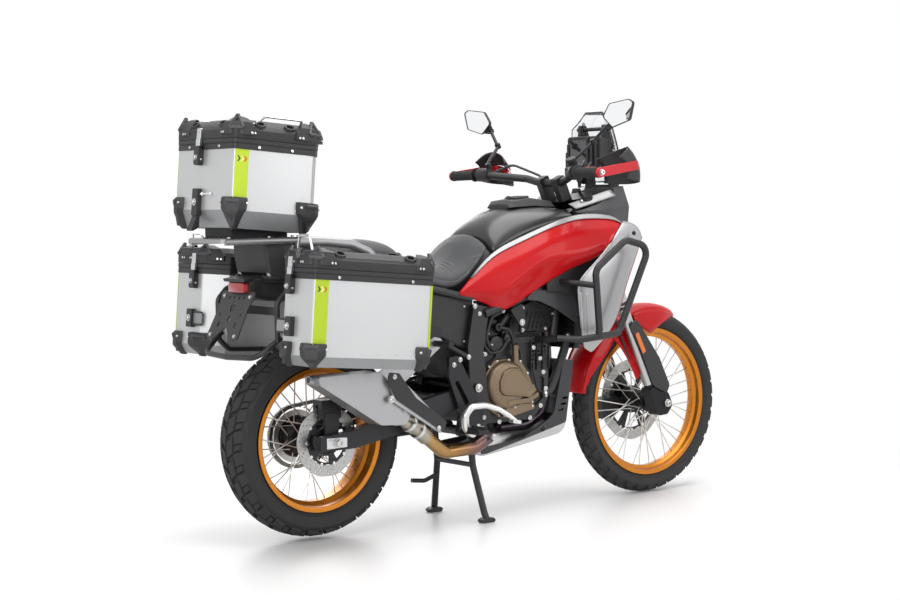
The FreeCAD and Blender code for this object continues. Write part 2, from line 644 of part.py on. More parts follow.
def cylinders():
    """A twin's barrels, head and cam cover, which lean forward, with the joint flanges between them."""
    barrel = side_plate([(768, 640.3, 4), (878, 640.3, 4), (925, 700, 12), (925, 742, 4), (792, 760, 4),
                         (778, 720, 30)], -114, 114)
    cover = side_plate([(797, 752, 4), (921, 738, 4), (914, 778, 14), (818, 796, 16)], -104, 104)
    # joint: rear x and z, front x and z, half width, thickness
    joints = [(766, 650, 886, 650, 122, 9), (775, 700, 927, 692, 124, 8), (789, 754, 930, 737, 118, 8)]
    flanges = [side_plate([(a, b, 2), (c, d, 2), (c, d + thick, 2), (a, b + thick, 2)], -half, half)
               for a, b, c, d, half, thick in joints]
    ribs = [box(770 + k * 3, 880 + k * 8, -118, 118, 664 + k * 9, 667 + k * 9) for k in range(4)]
    plugs = [rod((858 - 3, y, 780), (864, y, 812), 15) for y in (-52, 52)]
    return cut(fused(barrel, cover, *flanges, *ribs, *plugs), frame_shape)


def exhaust_pipes():
    headers = [tube([(925, y, 715), (990, y, 690), (998, y, 500), (975, y, 350), (900, y * 0.9, 312),
                     (790, y * 0.25, 309)], 19, 70) for y in (-48, 48)]
    main = tube([(812, 0, 309), (735, -30, 310), (640, -158, 304), (560, -172, 272), (424, -178, 270),
                 (304, -200, 356), (200, -218, 418)], 24, 60)
    sleeve = rod((338, -192, 332), (300, -201, 359), 29)
    return cut(fused(main, sleeve, *headers), side_plate(engine_outline, -138, 138), frame_shape)


def muffler():
    """A flat-sided wedge that rises to the rear, with a cone at the pipe, a round outlet, and a
    shield outside. A hanger ties it to the passenger's peg bracket."""
    outline = [(196, 392, 20), (96, 398, 26), (-140, 545, 14), (-146, 572, 8), (96, 574, 16), (224, 440, 20)]
    case = side_plate(outline, -280, -196)
    cone = rod((212, -216, 411), (178, -222, 434), 34)
    outlet = cut(rod((-110, -238, 556), (-158, -238, 562), 13), rod((-120, -238, 557), (-170, -238, 563.3), 10))
    shield = side_plate([(330, 352, 6), (140, 470, 10), (118, 560, 8), (150, 566, 6), (345, 384, 8)],
                        -292, -284)
    posts = [rod((x, -285, z), (x, -279, z), 8) for x, z in ((160, 480), (190, 440))]
    hanger = side_plate([(170, 466, 6), (104, 545, 4), (380, 668, 8), (410, 660, 8), (400, 630, 8)], -198, -190)
    hanger = hanger.cut(rod((380, -200, 646), (380, -188, 646), 11))
    return fused(case, cone, outlet, shield, *posts, hanger)


def radiator():
    """A core of flat cooling louvres between two side tanks."""
    core = box(1036, 1058, -160, 160, 592, 850)
    louvres = [box(1031, 1063, -161, 161, z, z + 5) for z in range(604, 846, 16)]
    tanks = [box(1026, 1068, y, y + 12, 600, 842) for y in (-172, 160)]
    caps = [box(1030, 1064, -161, 161, z, z + 8) for z in (588, 846)]
    filler = Part.makeCylinder(16, 16, Vector(1047, 120, 853), Vector(0, 0, 1))
    return cut(fused(core, *louvres, *tanks, *caps, filler), frame_shape)


def skid_plate():
    """A folded tray below the engine, open at the top and to the rear."""
    t = size.plate
    outer = [(628, 224, 14), (1002, 284, 40), (1046, 545, 6), (1000, 545, 10), (950, 350, 60), (800, 276, 30),
             (640, 262, 10)]
    wedge = body_of([(620, 150, 640, 150, 300, 96, 200), (820, 150, 640, 150, 330, 104, 200),
                     (1060, 150, 640, 150, 380, 110, 200)])
    solid = side_plate(outer, -140, 140).common(wedge)
    inner = side_plate([(560, 217 + t, 1), (1002 - t, 284 + t, 38), (1046 - t, 600, 6), (560, 600, 6)], -134, 134)
    hollow = inner.common(body_of([(540, 146, 700, 146, 300, 92, 200), (820, 146, 700, 146, 330, 100, 200),
                                   (1070, 146, 700, 146, 380, 106, 200)]))
    slots = [side_plate([(x, z, 2), (x + 26, z + 2, 2), (x + 26, z + 10, 2), (x, z + 8, 2)], -200, 200)
             for x, z in ((972, 362), (984, 383), (992, 404))]
    drains = [Part.makeCylinder(9, 400, Vector(x, -200, z), Vector(0, 1, 0)) for x, z in ((812, 288), (900, 304))]
    return cut(solid, hollow, *slots, *drains)


free_form("engine", against(cut(engine(), chain_space), "swingarm"))
free_form("engine_covers", Part.makeCompound([against(cut(cover, chain_space), "frame", "swingarm")
                                               for cover in engine_covers()]))
free_form("cylinders", cylinders())
free_form("exhaust_pipes", against(exhaust_pipes(), "cylinders", "engine"))
free_form("muffler", against(muffler(), "exhaust_pipes"))
free_form("radiator", radiator())
free_form("skid_plate", skid_plate())


# ---------------------------------------------------------------- bodywork

turning_space = steering_sweep(size.steering_clearance, 560, 1100)
inner_space = fused(side_plate([(400, 600, 0), (1300, 600, 0), (1300, 900, 0), (900, 872, 0), (690, 850, 0),
                                (560, 800, 0), (400, 780, 0)], -168, 168), frame_pivot())


def tank():
    skin = body_of([(470, 110, 930, 160, 850, 158, 700), (660, 120, 1010, 176, 880, 176, 700),
                    (880, 150, 1100, 226, 940, 206, 780), (1060, 160, 1110, 280, 965, 258, 860),
                    (1210, 165, 1100, 262, 1015, 240, 940)])
    outline = side_plate([(491, 800, 6), (652, 728, 40), (892, 857, 80), (1072, 925, 60), (1183, 1034, 12),
                          (1195, 1066, 6), (1048, 1072, 90), (860, 1048, 120), (690, 985, 60),
                          (655, 946, 40)], -320, 320)
    return cut(skin.common(outline), turning_space, inner_space)


def tank_cover():
    skin = body_of([(672, 64, 1022, 120, 1000, 150, 940), (800, 70, 1102, 140, 1062, 172, 1000),
                    (1000, 78, 1152, 132, 1110, 170, 1050), (1075, 70, 1150, 120, 1120, 150, 1060)])
    sides = turning_space.cut(box(900, 1300, -45, 45, 500, 1300))
    return cut(skin, sides, steering_sweep(84, 560, 1100))


def rider_seat():
    skin = body_of([(318, 130, 1000, 150, 900, 150, 780), (500, 132, 930, 168, 870, 164, 760),
                    (600, 112, 1010, 160, 930, 162, 760), (684, 74, 1060, 152, 960, 156, 760)])
    outline = side_plate([(322, 858, 8), (400, 826, 30), (486, 806, 12), (652, 948, 20), (671, 1000, 8),
                          (671, 1022, 6), (632, 1008, 60), (560, 925, 90), (505, 893, 90), (400, 905, 90),
                          (322, 945, 10)], -200, 200)
    return skin.common(outline)


def pillion_seat():
    skin = body_of([(-80, 90, 1000, 120, 960, 120, 890), (120, 120, 1010, 148, 960, 140, 880),
                    (318, 118, 1010, 146, 950, 146, 850)])
    outline = side_plate([(-76, 905, 10), (316, 866, 8), (318, 952, 10), (262, 1002, 30), (-60, 998, 20)],
                         -200, 200)
    return skin.common(outline)


def tail():
    return body_of([(-262, 60, 884, 66, 870, 60, 838), (-60, 96, 898, 104, 870, 96, 800),
                    (300, 128, 858, 136, 820, 120, 780)])


def shrouds():
    """Flat blades outside the radiator, joined to it by a strut."""
    outline = [(960, 842, 8), (994, 610, 12), (1048, 578, 8), (1146, 715, 40), (1190, 795, 40),
               (1250, 1004, 6), (1085, 912, 20), (1025, 876, 14)]
    blade = side_plate(outline, -size.panel, 0)
    blade.rotate(Vector(0, 0, 578), Vector(1, 0, 0), 5)
    blade.translate(Vector(0, -238, 0))
    strut = rod((1046, -172, 700), (1046, -250, 700), 7)
    right = fused(blade, strut)
    return right, mirrored(right)


def upper_fairing():
    """Side wings and a closed nose ahead of the turning fork."""
    skin = body_of([(1040, 128, 1092, 176, 1078, 176, 1040), (1230, 124, 1160, 158, 1090, 168, 1030),
                    (1336, 96, 1172, 128, 1100, 120, 1010), (1372, 60, 1140, 90, 1090, 80, 1020)])
    outline = side_plate([(1042, 1076, 4), (1200, 1070, 20), (1250, 1020, 20), (1366, 1010, 20),
                          (1376, 1100, 40), (1336, 1176, 20), (1226, 1158, 30), (1042, 1092, 4)], -200, 200)
    inside = body_of([(1030, 120, 1200, 166, 1078, 166, 1000), (1230, 114, 1200, 150, 1090, 158, 1000),
                      (1270, 110, 1200, 140, 1090, 150, 1000)])
    sweep = steering_sweep(size.steering_clearance, 560, 1200)
    return cut(skin.common(outline), inside, sweep)


def headlight():
    lens = body_of([(1340, 60, 1120, 84, 1080, 70, 1036), (1384, 44, 1108, 66, 1078, 56, 1046)])
    return lens


def cockpit():
    """A narrow tower behind the screen with the instrument on its rear face."""
    tower = side_plate([(1300, 1172, 4), (1336, 1172, 4), (1318, 1330, 12), (1290, 1396, 6), (1268, 1396, 6),
                        (1262, 1300, 20)], -72, -58)
    panel = side_plate([(1240, 1236, 8), (1256, 1236, 6), (1250, 1356, 6), (1234, 1356, 8)], -82, 82)
    link = box(1250, 1280, -58, 58, 1270, 1310)
    bar = rod((1282, -92, 1384), (1282, 92, 1384), 7)
    foot = box(1296, 1338, -72, 72, 1166, 1178)
    side = fused(panel, link, bar, tower, mirrored(tower), foot)
    return side


def windscreen():
    rings = []
    for x, z, half, bow in ((1352, 1185, 118, 30), (1318, 1320, 128, 34), (1290, 1446, 96, 26)):
        outer = Part.Arc(Vector(x - bow, -half, z), Vector(x, 0, z), Vector(x - bow, half, z)).toShape()
        inner = Part.Arc(Vector(x - bow - 4, half, z), Vector(x - 4, 0, z), Vector(x - bow - 4, -half, z)).toShape()
        ends = [Part.makeLine(Vector(x - bow, half, z), Vector(x - bow - 4, half, z)),
                Part.makeLine(Vector(x - bow - 4, -half, z), Vector(x - bow, -half, z))]
        rings.append(Part.Wire([outer, ends[0], inner, ends[1]]))
    return Part.makeLoft(rings, True, True)


def plate_bracket():
    """A sloping plate with two long holes; its number plate stays off."""
    body = new_body("plate_bracket", ("Sizes.datum_x - 262", "0", "845"), Rotation(Vector(0, 1, 0), 26))
    rows = [(-108, 0, 18), (108, 0, 18), (92, -60, 20), (98, -168, 8), (62, -176, 8), (0, -128, 12),
            (-62, -176, 8), (-98, -168, 8), (-92, -60, 20)]
    pad(body, sketch(body, "YZ_Plane", corners(rows)), "Sizes.plate", True)
    for up in (-92, -60):
        hole = [(-18, up - 9, 8.9), (18, up - 9, 8.9), (18, up + 9, 8.9), (-18, up + 9, 8.9)]
        pocket(body, sketch(body, "YZ_Plane", corners(hole)), "Sizes.plate * 3")
    for y in (-size.number_plate_bolt_y, size.number_plate_bolt_y):
        ring = [Part.Circle(Vector(y, -20, 0), Vector(0, 0, 1), size.number_plate_bolt_radius)]
        pocket(body, sketch(body, "YZ_Plane", ring), "Sizes.plate * 3")
    doc.recompute()
    MADE["plate_bracket"] = body.Shape.copy()
    MADE["plate_bracket"].translate(Vector(-size.datum_x, 0, 0))


plate_bracket()
free_form("tank", against(tank(), "frame", "subframe"))
free_form("tank_cover", against(tank_cover(), "tank"))
free_form("rider_seat", against(rider_seat(), "tank", "subframe"))
free_form("pillion_seat", against(pillion_seat(), "subframe"))
free_form("tail", against(tail(), "subframe", "pillion_seat", "plate_bracket"))
free_form("tail_light", against(box(-274, -262, -50, 50, 841, 874), "tail", "plate_bracket"))
free_form("headlight", headlight())
free_form("upper_fairing", against(upper_fairing(), "tank", "tank_cover", "headlight"))
free_form("cockpit", against(cockpit(), "upper_fairing"))
free_form("windscreen", against(windscreen(), "cockpit", "upper_fairing"))


# ---------------------------------------------------------------- bars, pegs and controls

def crash_bars():
    r = size.crash_bar_radius
    loop = tube([(898, -228, 636), (952, -296, 632), (1013, -322, 640), (1112, -312, 646),
                 (1249, -330, 951), (1135, -330, 979), (990, -330, 877), (1010, -326, 660)], r, 40)
    stay = rod((1010, -322, 662), (1012, -322, 640), r)
    arm = tube([(936, -166, 836), (950, -240, 832), (990, -328, 822)], 11, 30)
    foot = tube([(898, -228, 636), (880, -180, 630), (880, -118, 628)], r, 30)
    right = cut(fused(loop, stay, arm, foot), frame_shape, side_plate(engine_outline, -138, 138), cylinders())
    return Part.makeCompound([right, mirrored(right)])


def footpegs():
    plate = side_plate([(452, 592, 8), (492, 596, 8), (600, 400, 14), (560, 318, 14), (480, 318, 12),
                        (498, 400, 30), (452, 520, 20)], -180, -167)
    window = side_plate([(480, 530, 8), (555, 400, 8), (520, 420, 8), (478, 500, 8)], -190, -160)
    peg = box(494, 540, -286, -180, 330, 346)
    pillion = rod((380, -190, 646), (380, -290, 646), 11)
    bracket = side_plate([(360, 632, 8), (400, 632, 8), (420, 700, 8), (330, 712, 8)], -190, -166)
    right = Part.makeCompound([cut(fused(cut(plate, window), peg), frame_shape), fused(pillion, bracket)])
    return Part.makeCompound([right, mirrored(right)])


def foot_controls():
    pedal = tube([(527, -196, 331), (548, -208, 400), (590, -216, 422), (640, -232, 392), (668, -240, 362)],
                 8, 24)
    hub = rod((527, -206, 331), (527, -181, 331), 12)
    tip = box(655, 682, -262, -228, 354, 364)
    lever = tube([(600, 186, 372), (700, 200, 352), (716, 230, 350)], 6, 16)
    lever_hub = rod((600, 167, 372), (600, 192, 372), 10)
    tip_left = rod((716, 222, 350), (716, 262, 350), 9)
    return Part.makeCompound([fused(pedal, hub, tip), fused(lever, lever_hub, tip_left)])


free_form("crash_bars", crash_bars())
free_form("shrouds", Part.makeCompound([against(blade, "tank", "radiator", "crash_bars") for blade in shrouds()]))
free_form("footpegs", footpegs())
free_form("foot_controls", against(foot_controls(), "footpegs"))


# ---------------------------------------------------------------- fork and steering

def fork():
    """Legs, both clamps, the stem and the front axle, drawn along the legs."""
    x, y = -size.fork_lead, leg_y
    upper = Part.makeCylinder(size.fork_tube_radius, size.upper_clamp_up + 24 - size.fork_tube_start,
                              Vector(x, -y, size.fork_tube_start))
    stanchion = Part.makeCylinder(size.stanchion_radius, size.fork_tube_start - 40, Vector(x, -y, 50))
    foot = side_plate([(-58, 88, 10), (-10, 88, 10), (24, 30, 20), (24, -20, 20), (-14, -40, 14),
                       (-58, -24, 14)], -y - 24, -y + 26)
    leg = fused(upper, stanchion, foot)
    stem = Part.makeCylinder(size.stem_radius, size.upper_clamp_up - size.lower_clamp_up,
                             Vector(-axis_back, 0, size.lower_clamp_up + 10))
    plates = []
    for up in (size.lower_clamp_up, size.upper_clamp_up):
        rows = [(x + 30, -y - 30, 28), (x + 30, -y + 30, 12), (x + 6, 0, 40), (x + 30, y - 30, 12),
                (x + 30, y + 30, 28), (x - 30, y + 30, 28), (-axis_back - 30, 20, 20),
                (-axis_back - 30, -20, 20), (x - 30, -y - 30, 28)]
        face = Part.Face(wire(rows))
        face.translate(Vector(0, 0, up))
        plates.append(face.extrude(Vector(0, 0, size.clamp_height)))
    axle = Part.makeCylinder(size.front_axle_radius, 2 * y + 60, Vector(0, -y - 30, 0), Vector(0, 1, 0))
    return fused(leg, mirrored(leg), stem, axle, *plates)


def fork_guards():
    rows = [(-56, 355, 10), (-12, 362, 14), (30, 180, 30), (34, 60, 20), (8, 40, 8), (-40, 95, 20),
            (-44, 240, 40)]
    guard = side_plate(rows, -leg_y - 34, -leg_y - 27.5)
    clip = side_plate([(-40, 300, 6), (-10, 300, 6), (-10, 270, 6), (-40, 270, 6)], -leg_y - 28, -leg_y - 16)
    return both(cut(fused(guard, clip), fork()))


def front_caliper():
    y = size.front_disc_y
    shell = caliper(size.front_disc_radius, y)
    shell.rotate(Vector(), Vector(0, 1, 0), -74)
    arm = side_plate([(-150, 60, 8), (-140, -30, 8), (-60, -20, 10), (-40, 60, 10)], y + 12, y + 22)
    return cut(fused(shell, arm), fork())


def mudguard():
    """A ridged band over the tyre, skirts beside it, and arms down to the fork feet."""
    r = size.front_tyre_radius
    half = size.front_tyre_width / 2 + 14
    section = [(-half, r - 6, 0), (-half, r + 12, 6), (0, r + 28, 20), (half, r + 12, 6), (half, r - 6, 0),
               (half - 4, r - 6, 0), (half - 4, r + 9, 4), (0, r + 24, 18), (-half + 4, r + 9, 4),
               (-half + 4, r - 6, 0)]
    face = Part.Face(wire(section))
    face.rotate(Vector(), Vector(1, 1, 1), 120)
    face.rotate(Vector(), Vector(0, 1, 0), 24)
    band = face.revolve(Vector(), Vector(0, 1, 0), -104)
    front = side_plate([(120, 332, 8), (-10, 352, 8), (-60, 258, 10), (-40, 250, 6)], -half - 0.2, -half + 4)
    rear = side_plate([(-170, 318, 10), (-330, 160, 10), (-230, 200, 20), (-126, 90, 6), (-106, 104, 6),
                       (-140, 290, 20)], -half - 0.2, -half + 4)
    return band, fused(front, rear)


def guard_shape():
    band, skirts = mudguard()
    turn = fork()
    turn.rotate(Vector(), Vector(0, 1, 0), -size.rake)
    tab = side_plate([(-152, 124, 4), (-114, 120, 4), (-104, 140, 4), (-110, 165, 4), (-150, 165, 4)], -leg_y,
                     -size.front_tyre_width / 2 - 10)
    right = fused(skirts, tab)
    return cut(fused(band, right, mirrored(right)), turn)


def handlebar():
    up, end = size.bar_up, size.grip_end_y
    x = -axis_back - 10
    bar = tube([(x, -60, up), (x - 8, -120, up + 22), (x - 96, -262, up + 80), (x - 108, -end + 20, up + 83)],
               size.bar_radius, 50)
    grip = tube([(x - 100, -290, up + 81), (x - 109, -end, up + 83)], size.grip_radius)
    centre = rod((x, -62, up), (x, 62, up), size.bar_radius)
    top = size.upper_clamp_up + size.clamp_height
    riser = box(x - 22, x + 22, -58, -30, top, up + 20)
    switch = rod((x - 82, -236, up + 72), (x - 96, -276, up + 80), 25)
    lever = tube([(x - 66, -250, up + 72), (x - 44, -270, up + 70), (x - 52, -380, up + 72)], 5, 16)
    perch = rod((x - 84, -248, up + 76), (x - 60, -254, up + 72), 9)
    right = fused(bar, grip, riser, switch, lever, perch)
    return fused(centre, right, mirrored(right))


def handguards():
    """A metal bar from the grip end round to the inner clamp, with a shield ahead of the lever."""
    up, end = size.bar_up, size.grip_end_y
    x = -axis_back - 10
    bar = tube([(x - 106, -end - 6, up + 82), (x + 92, -end + 4, up + 24), (x + 86, -330, up + 10),
                (x - 30, -196, up + 44)], 7, 36)
    shield = Part.makeLoft([across([(-402, up + 40, 0), (-398, up - 40, 0), (-250, up - 36, 0), (-262, up + 70, 0)],
                                   x + 92),
                            across([(-402, up + 40, 0), (-398, up - 40, 0), (-250, up - 36, 0), (-262, up + 70, 0)],
                                   x + 98)], True, True)
    cap = rod((x - 109, -end - 0.2, up + 83), (x - 109, -end - 16, up + 83), 16)
    right = cut(fused(bar, shield, cap), handlebar())
    return both(right)


def mirrors():
    up = size.bar_up
    x = -axis_back - 10
    stem = tube([(x - 70, -236, up + 86), (x - 60, -244, up + 112), (x + 26, -268, up + 140),
                 (x + 66, -330, up + 186)], 6, 20)
    outline = [(-78, 8, 12), (-52, -46, 12), (30, -52, 12), (78, -8, 14), (60, 40, 16), (-30, 50, 14)]
    rings = []
    for share, depth in ((0.55, 15), (0.92, 5), (1, -2), (1, -9)):
        ring = wire([(a * share, b * share, r * share) for a, b, r in outline])
        ring.rotate(Vector(), Vector(1, 0, 0), 90)
        ring.translate(Vector(0, depth, 0))
        rings.append(ring)
    plate = Part.makeLoft(rings, True, True)
    plate.rotate(Vector(), Vector(0, 0, 1), -90)
    plate.rotate(Vector(), Vector(0, 1, 0), size.rake)
    plate.translate(Vector(x + 78, -400, up + 226))
    ball = Part.makeSphere(14, Vector(x + 68, -338, up + 192))
    return both(cut(fused(stem, plate, ball), handlebar()))


free_form("fork", fork(), FORK)
free_form("fork_guards", fork_guards(), FORK)
caliper_shape = front_caliper()
free_form("front_caliper", caliper_shape, FORK)
free_form("mudguard", guard_shape(), Placement(Vector(size.front_axle_x, 0, front_axle_z), Rotation()))
free_form("handlebar", cut(handlebar(), fork()), FORK)
free_form("handguards", handguards(), FORK)
free_form("mirrors", mirrors(), FORK)


def rear_caliper():
    y = size.rear_disc_y
    shell = caliper(size.rear_disc_radius, y)
    arm = side_plate([(-30, 96, 6), (30, 96, 6), (24, 22, 6), (-24, 22, 6)], y - 33, y - 20)
    eye = Part.makeCylinder(size.rear_axle_radius, 100, Vector(0, y - 60, 0), Vector(0, 1, 0))
    return cut(fused(shell, arm), eye)


rear_caliper_shape = rear_caliper()
rear_caliper_shape.translate(Vector(rear_axle_x, 0, rear_axle_z))
free_form("rear_caliper", cut(rear_caliper_shape, swingarm()))


# ---------------------------------------------------------------- tail equipment

def rear_rack():
    """A slotted plate under the top case, and a cast grab rail down each side of the seat."""
    top = size.rack_top_z
    rows = [(-396, -112, 24), (-396, 112, 24), (-70, 140, 30), (-70, -140, 30)]
    face = Part.Face(wire(rows))
    slots = [wire([(x, y - 36, 6), (x + 34, y - 40, 6), (x + 34, y + 40, 6), (x, y + 36, 6)])
             for x in (-360, -300, -180, -120) for y in (-50, 50)]
    face = face.cut(Part.makeCompound([Part.Face(slot) for slot in slots]))
    face.translate(Vector(0, 0, top - 14))
    plate = face.extrude(Vector(0, 0, 14))
    rail = tube([(-380, -112, top - 9), (-70, -138, top - 9), (80, -146, top - 20), (150, -148, 962),
                 (150, -128, 905)], 11, 50)
    legs = [rod((x, y, 884), (x, y, top - 6), 9) for x, y in ((-105, -111), (-205, -90))]
    wedge = side_plate([(-340, top, 0), (-130, top, 0), (-130, case_floor(-130), 0),
                        (-340, case_floor(-340), 0)], -84, 84)
    right = fused(rail, *legs)
    return fused(plate, wedge, right, mirrored(right))


def case_floor(x):
    """The height of the top case's sloping floor at x."""
    return size.top_case_bottom_z - (x - size.top_case_rear_x) * math.tan(math.radians(size.case_tilt)) - 0.4


def pannier_racks():
    """A loop of tube on each side, joined behind the wheel by a lower loop and a cross bar."""
    r = size.rack_tube_radius
    y = size.pannier_inner_y - r - 5
    ring = [(150, -y, 835), (-200, -y, 850), (-238, -y, 810), (-238, -y, 676), (-200, -y, 640), (130, -y, 622),
            (160, -y, 660)]
    loop = fused(tube(ring, r, 30), rod(ring[-1], ring[0], r))
    behind = rear_axle_x - 305
    lower = tube([(-225, -y, 700), (behind, -y + 14, 637), (behind - 13, 0, 632), (behind, y - 14, 637),
                  (-225, y, 700)], r, 60)
    cross = box(-246, -238, -y, y, 772, 798)
    stay = rod((150, -y, 800), (210, -150, 775), r - 1)
    pads = [rod((x, -y, z), (x, -y - r - 4.6, z), 11) for x, z in ((-120, 847), (90, 838), (90, 624))]
    right = fused(loop, stay, *pads)
    ties = [rod((-60, -y, 843), (-60, -121, 875), 7)]
    return fused(right, mirrored(right), lower, cross, *ties, *[mirrored(tie) for tie in ties])


free_form("rear_rack", against(rear_rack(), "pillion_seat", "subframe", "tail"))
free_form("pannier_racks", against(pannier_racks(), "subframe", "rear_rack"))


# ---------------------------------------------------------------- cases

def inset(rows, distance):
    """A convex outline moved inwards by a distance, its corner radii reduced to match."""
    points = [Vector(a, b, 0) for a, b, _ in rows]
    middle = sum(points[1:], points[0]) * (1 / len(points))
    moved = []
    for i, point in enumerate(points):
        back = (point - points[i - 1]).normalize()
        ahead = (points[(i + 1) % len(points)] - point).normalize()
        normals = []
        for run in (back, ahead):
            normal = Vector(-run.y, run.x, 0)
            normals.append(normal if normal.dot(middle - point) > 0 else -normal)
        shift = normals[0] + normals[1]
        shift *= distance / (1 + normals[0].dot(normals[1]))
        moved.append((point.x + shift.x, point.y + shift.y, max(rows[i][2] - distance, 0.5)))
    return moved


def level(rows, up):
    ring = wire(rows)
    ring.translate(Vector(0, 0, up))
    return ring


def walled(rows, taper, foot, bend, height):
    """A case's outer form: a tapering foot below the bend line and upright walls above it."""
    return fused(Part.makeLoft([level(inset(rows, taper), foot), level(rows, bend)], True, True),
                 Part.makeLoft([level(rows, bend), level(rows, height)], True, True))


def lidded(rows, foot, rim, height, slope):
    """A lid's outer form: an upright rim below four slopes to a flat top."""
    return fused(Part.makeLoft([level(rows, foot), level(rows, rim)], True, True),
                 Part.makeLoft([level(rows, rim), level(inset(rows, slope), height)], True, True))


def corner_guard(rows, i, seat, sections):
    """A moulded guard on corner i of an outline, cut to sit on the walls there. Columns of a section:
    height, reach along both walls, length of its flats, how far it stands out, the outline's inset."""
    rings = []
    for up, reach, flat, out, within in sections:
        points, far, back = inset(rows, within), inset(rows, within - out), inset(rows, within + 12)
        corner, a, b = (Vector(*points[k % len(rows)][:2]) for k in (i, i - 1, i + 1))
        to_a, to_b = (a - corner).normalize(), (b - corner).normalize()
        tip, heel = Vector(*far[i][:2], up), Vector(*back[i][:2], up)
        ring = [tip + to_a * reach, tip + to_a * flat, tip + to_b * flat, tip + to_b * reach, heel]
        rings.append(Part.makePolygon(ring + ring[:1]))
    return Part.makeLoft(rings, True, True).cut(seat)


def case(rows, where, bend, height, lid_height, guarded, latch_y, handles):
    """A box with a rim band, corner bumpers and latch, and its lid with caps, latch and handles."""
    wall, taper, rim = size.case_wall, size.case_taper, size.lid_rim
    outer, slim = walled(rows, taper, 0, bend, height), inset(rows, wall)
    inner = walled(slim, taper, wall, bend + wall / 2, height + 1)
    wide = inset(rows, -4)
    band = Part.Face(level(wide, height - size.case_band)).extrude(Vector(0, 0, size.case_band))
    hinge_x = max(a for a, _, _ in rows) + size.hinge_radius + 5
    ys = [b for _, b, _ in rows]
    middle = (min(ys) + max(ys)) / 2
    knuckle = Part.makeCylinder(size.hinge_radius, 60, Vector(hinge_x, middle - 30, height), Vector(0, 1, 0))
    leaf = box(hinge_x - 10, hinge_x, middle - 30, middle + 30, height - 30, height)
    bumpers = [corner_guard(rows, i, outer, [(bend + 34, 46, 26, 7, 0), (bend + 6, 46, 26, 10, 0),
                                             (6, 14, 3, 9, taper * 0.8)]) for i in guarded]
    plate = box(-14, 1, latch_y - 15, latch_y + 15, height - 84, height - 3)
    shape = fused(outer, band, knuckle, leaf, plate, *bumpers).cut(inner)

    top = height + size.lid_gap + lid_height
    gap = height + size.lid_gap
    cover = lidded(wide, 0, rim, lid_height, 30)
    hollow = lidded(inset(wide, wall), -1, rim, lid_height - wall, 28)
    cover.translate(Vector(0, 0, gap))
    hollow.translate(Vector(0, 0, gap))
    ears = [box(hinge_x - 12, hinge_x + 4, b, b + 16, gap, height + 12) for b in (middle - 48, middle + 32)]
    pins = [Part.makeCylinder(size.hinge_radius, 16, Vector(hinge_x, b, height), Vector(0, 1, 0))
            for b in (middle - 48, middle + 32)]
    caps = [corner_guard(rows, i, cover, [(gap + 10, 72, 26, 9, 0), (gap + rim, 72, 26, 9, 0),
                                          (top - 3, 50, 12, 9, 16)]) for i in guarded]
    hook = box(-14, 1, latch_y - 12, latch_y + 12, gap, gap + rim + 4)
    wires = [tube([start, leant(start, ahead, lean), leant(stop, behind, lean), stop], 3.6, 12)
             for start, stop, lean, ahead, behind in handles]
    tilt = Placement(where, Rotation(Vector(0, 1, 0), size.case_tilt))
    return (shape, fused(cover, hook, *ears, *pins, *caps, *wires).cut(hollow), tilt,
            Vector(hinge_x, middle, height))


def leant(foot, along, lean):
    return tuple(a + b + c for a, b, c in zip(foot, along, lean))


def pannier(side):
    near, far = size.pannier_inner_y, size.pannier_outer_y
    back, length, height = size.pannier_rear_x, size.pannier_length, size.pannier_height
    rows = [(0, near + 64, 10), (0, far, 14), (length, far, 14), (length, near + 40, 10), (length - 40, near, 10),
            (70, near, 10)]
    rows = [(a, side * b, r) for a, b, r in rows]
    handle = ((20, side * (near + 100), height + 30), (20, side * (far - 52), height + 30), (-6, 0, 80),
              (0, side * 14, 0), (0, -side * 14, 0))
    return case(rows, Vector(back, 0, size.pannier_bottom_z), size.pannier_bend, height, size.pannier_lid_height,
                (0, 1, 2, 3), side * (near + 104), [handle])


HINGES = {}
for name, side in (("left", 1), ("right", -1)):
    base, top, seat, hinge = pannier(side)
    free_form("pannier_" + name, base, seat)
    free_form("pannier_lid_" + name, top, seat)
    HINGES["pannier_lid_" + name] = seat.multVec(hinge)

half, length = size.top_case_half_width, size.top_case_length
top_rows = [(0, -half, 12), (0, half, 12), (length - 30, half, 12), (length, half - 30, 10),
            (length, -half + 30, 10), (length - 30, -half, 12)]
top_handles = [((92, side * (half - 22), size.top_case_height + 40), (232, side * (half - 22), size.top_case_height + 40),
                (0, side * 40, 44), (14, 0, 0), (-14, 0, 0)) for side in (-1, 1)]
base, top, seat, hinge = case(top_rows, Vector(size.top_case_rear_x, 0, size.top_case_bottom_z),
                              size.top_case_bend, size.top_case_height, size.top_case_lid_height,
                              (0, 1, 2, 5), 28, top_handles)
free_form("top_case", base, seat)
free_form("top_case_lid", top, seat)
HINGES["top_case_lid"] = seat.multVec(hinge)


# ---------------------------------------------------------------- checks and files

doc.recompute()
for thing in doc.Objects:
    if "Invalid" in thing.State or "Error" in thing.State:
        raise RuntimeError(f"{thing.Name}: {thing.State}")
for thing in PARTS:
    if thing.Shape.isNull() or not thing.Shape.isValid():
        raise RuntimeError(f"{thing.Label}: no valid shape")
os.makedirs("parts", exist_ok=True)
for thing in PARTS:
    thing.Shape.exportStep(f"parts/{thing.Label}.step")
for name, point in HINGES.items():
    print(name, [round(value / 1000, 5) for value in (point.x + size.datum_x, point.y, point.z)])
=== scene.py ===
"""Looks of an adventure motorcycle with hard cases, over its fixed frame."""
import json
import math

import bmesh
import bpy
from mathutils import Matrix, Vector
from mathutils.bvhtree import BVHTree
from mathutils.kdtree import KDTree


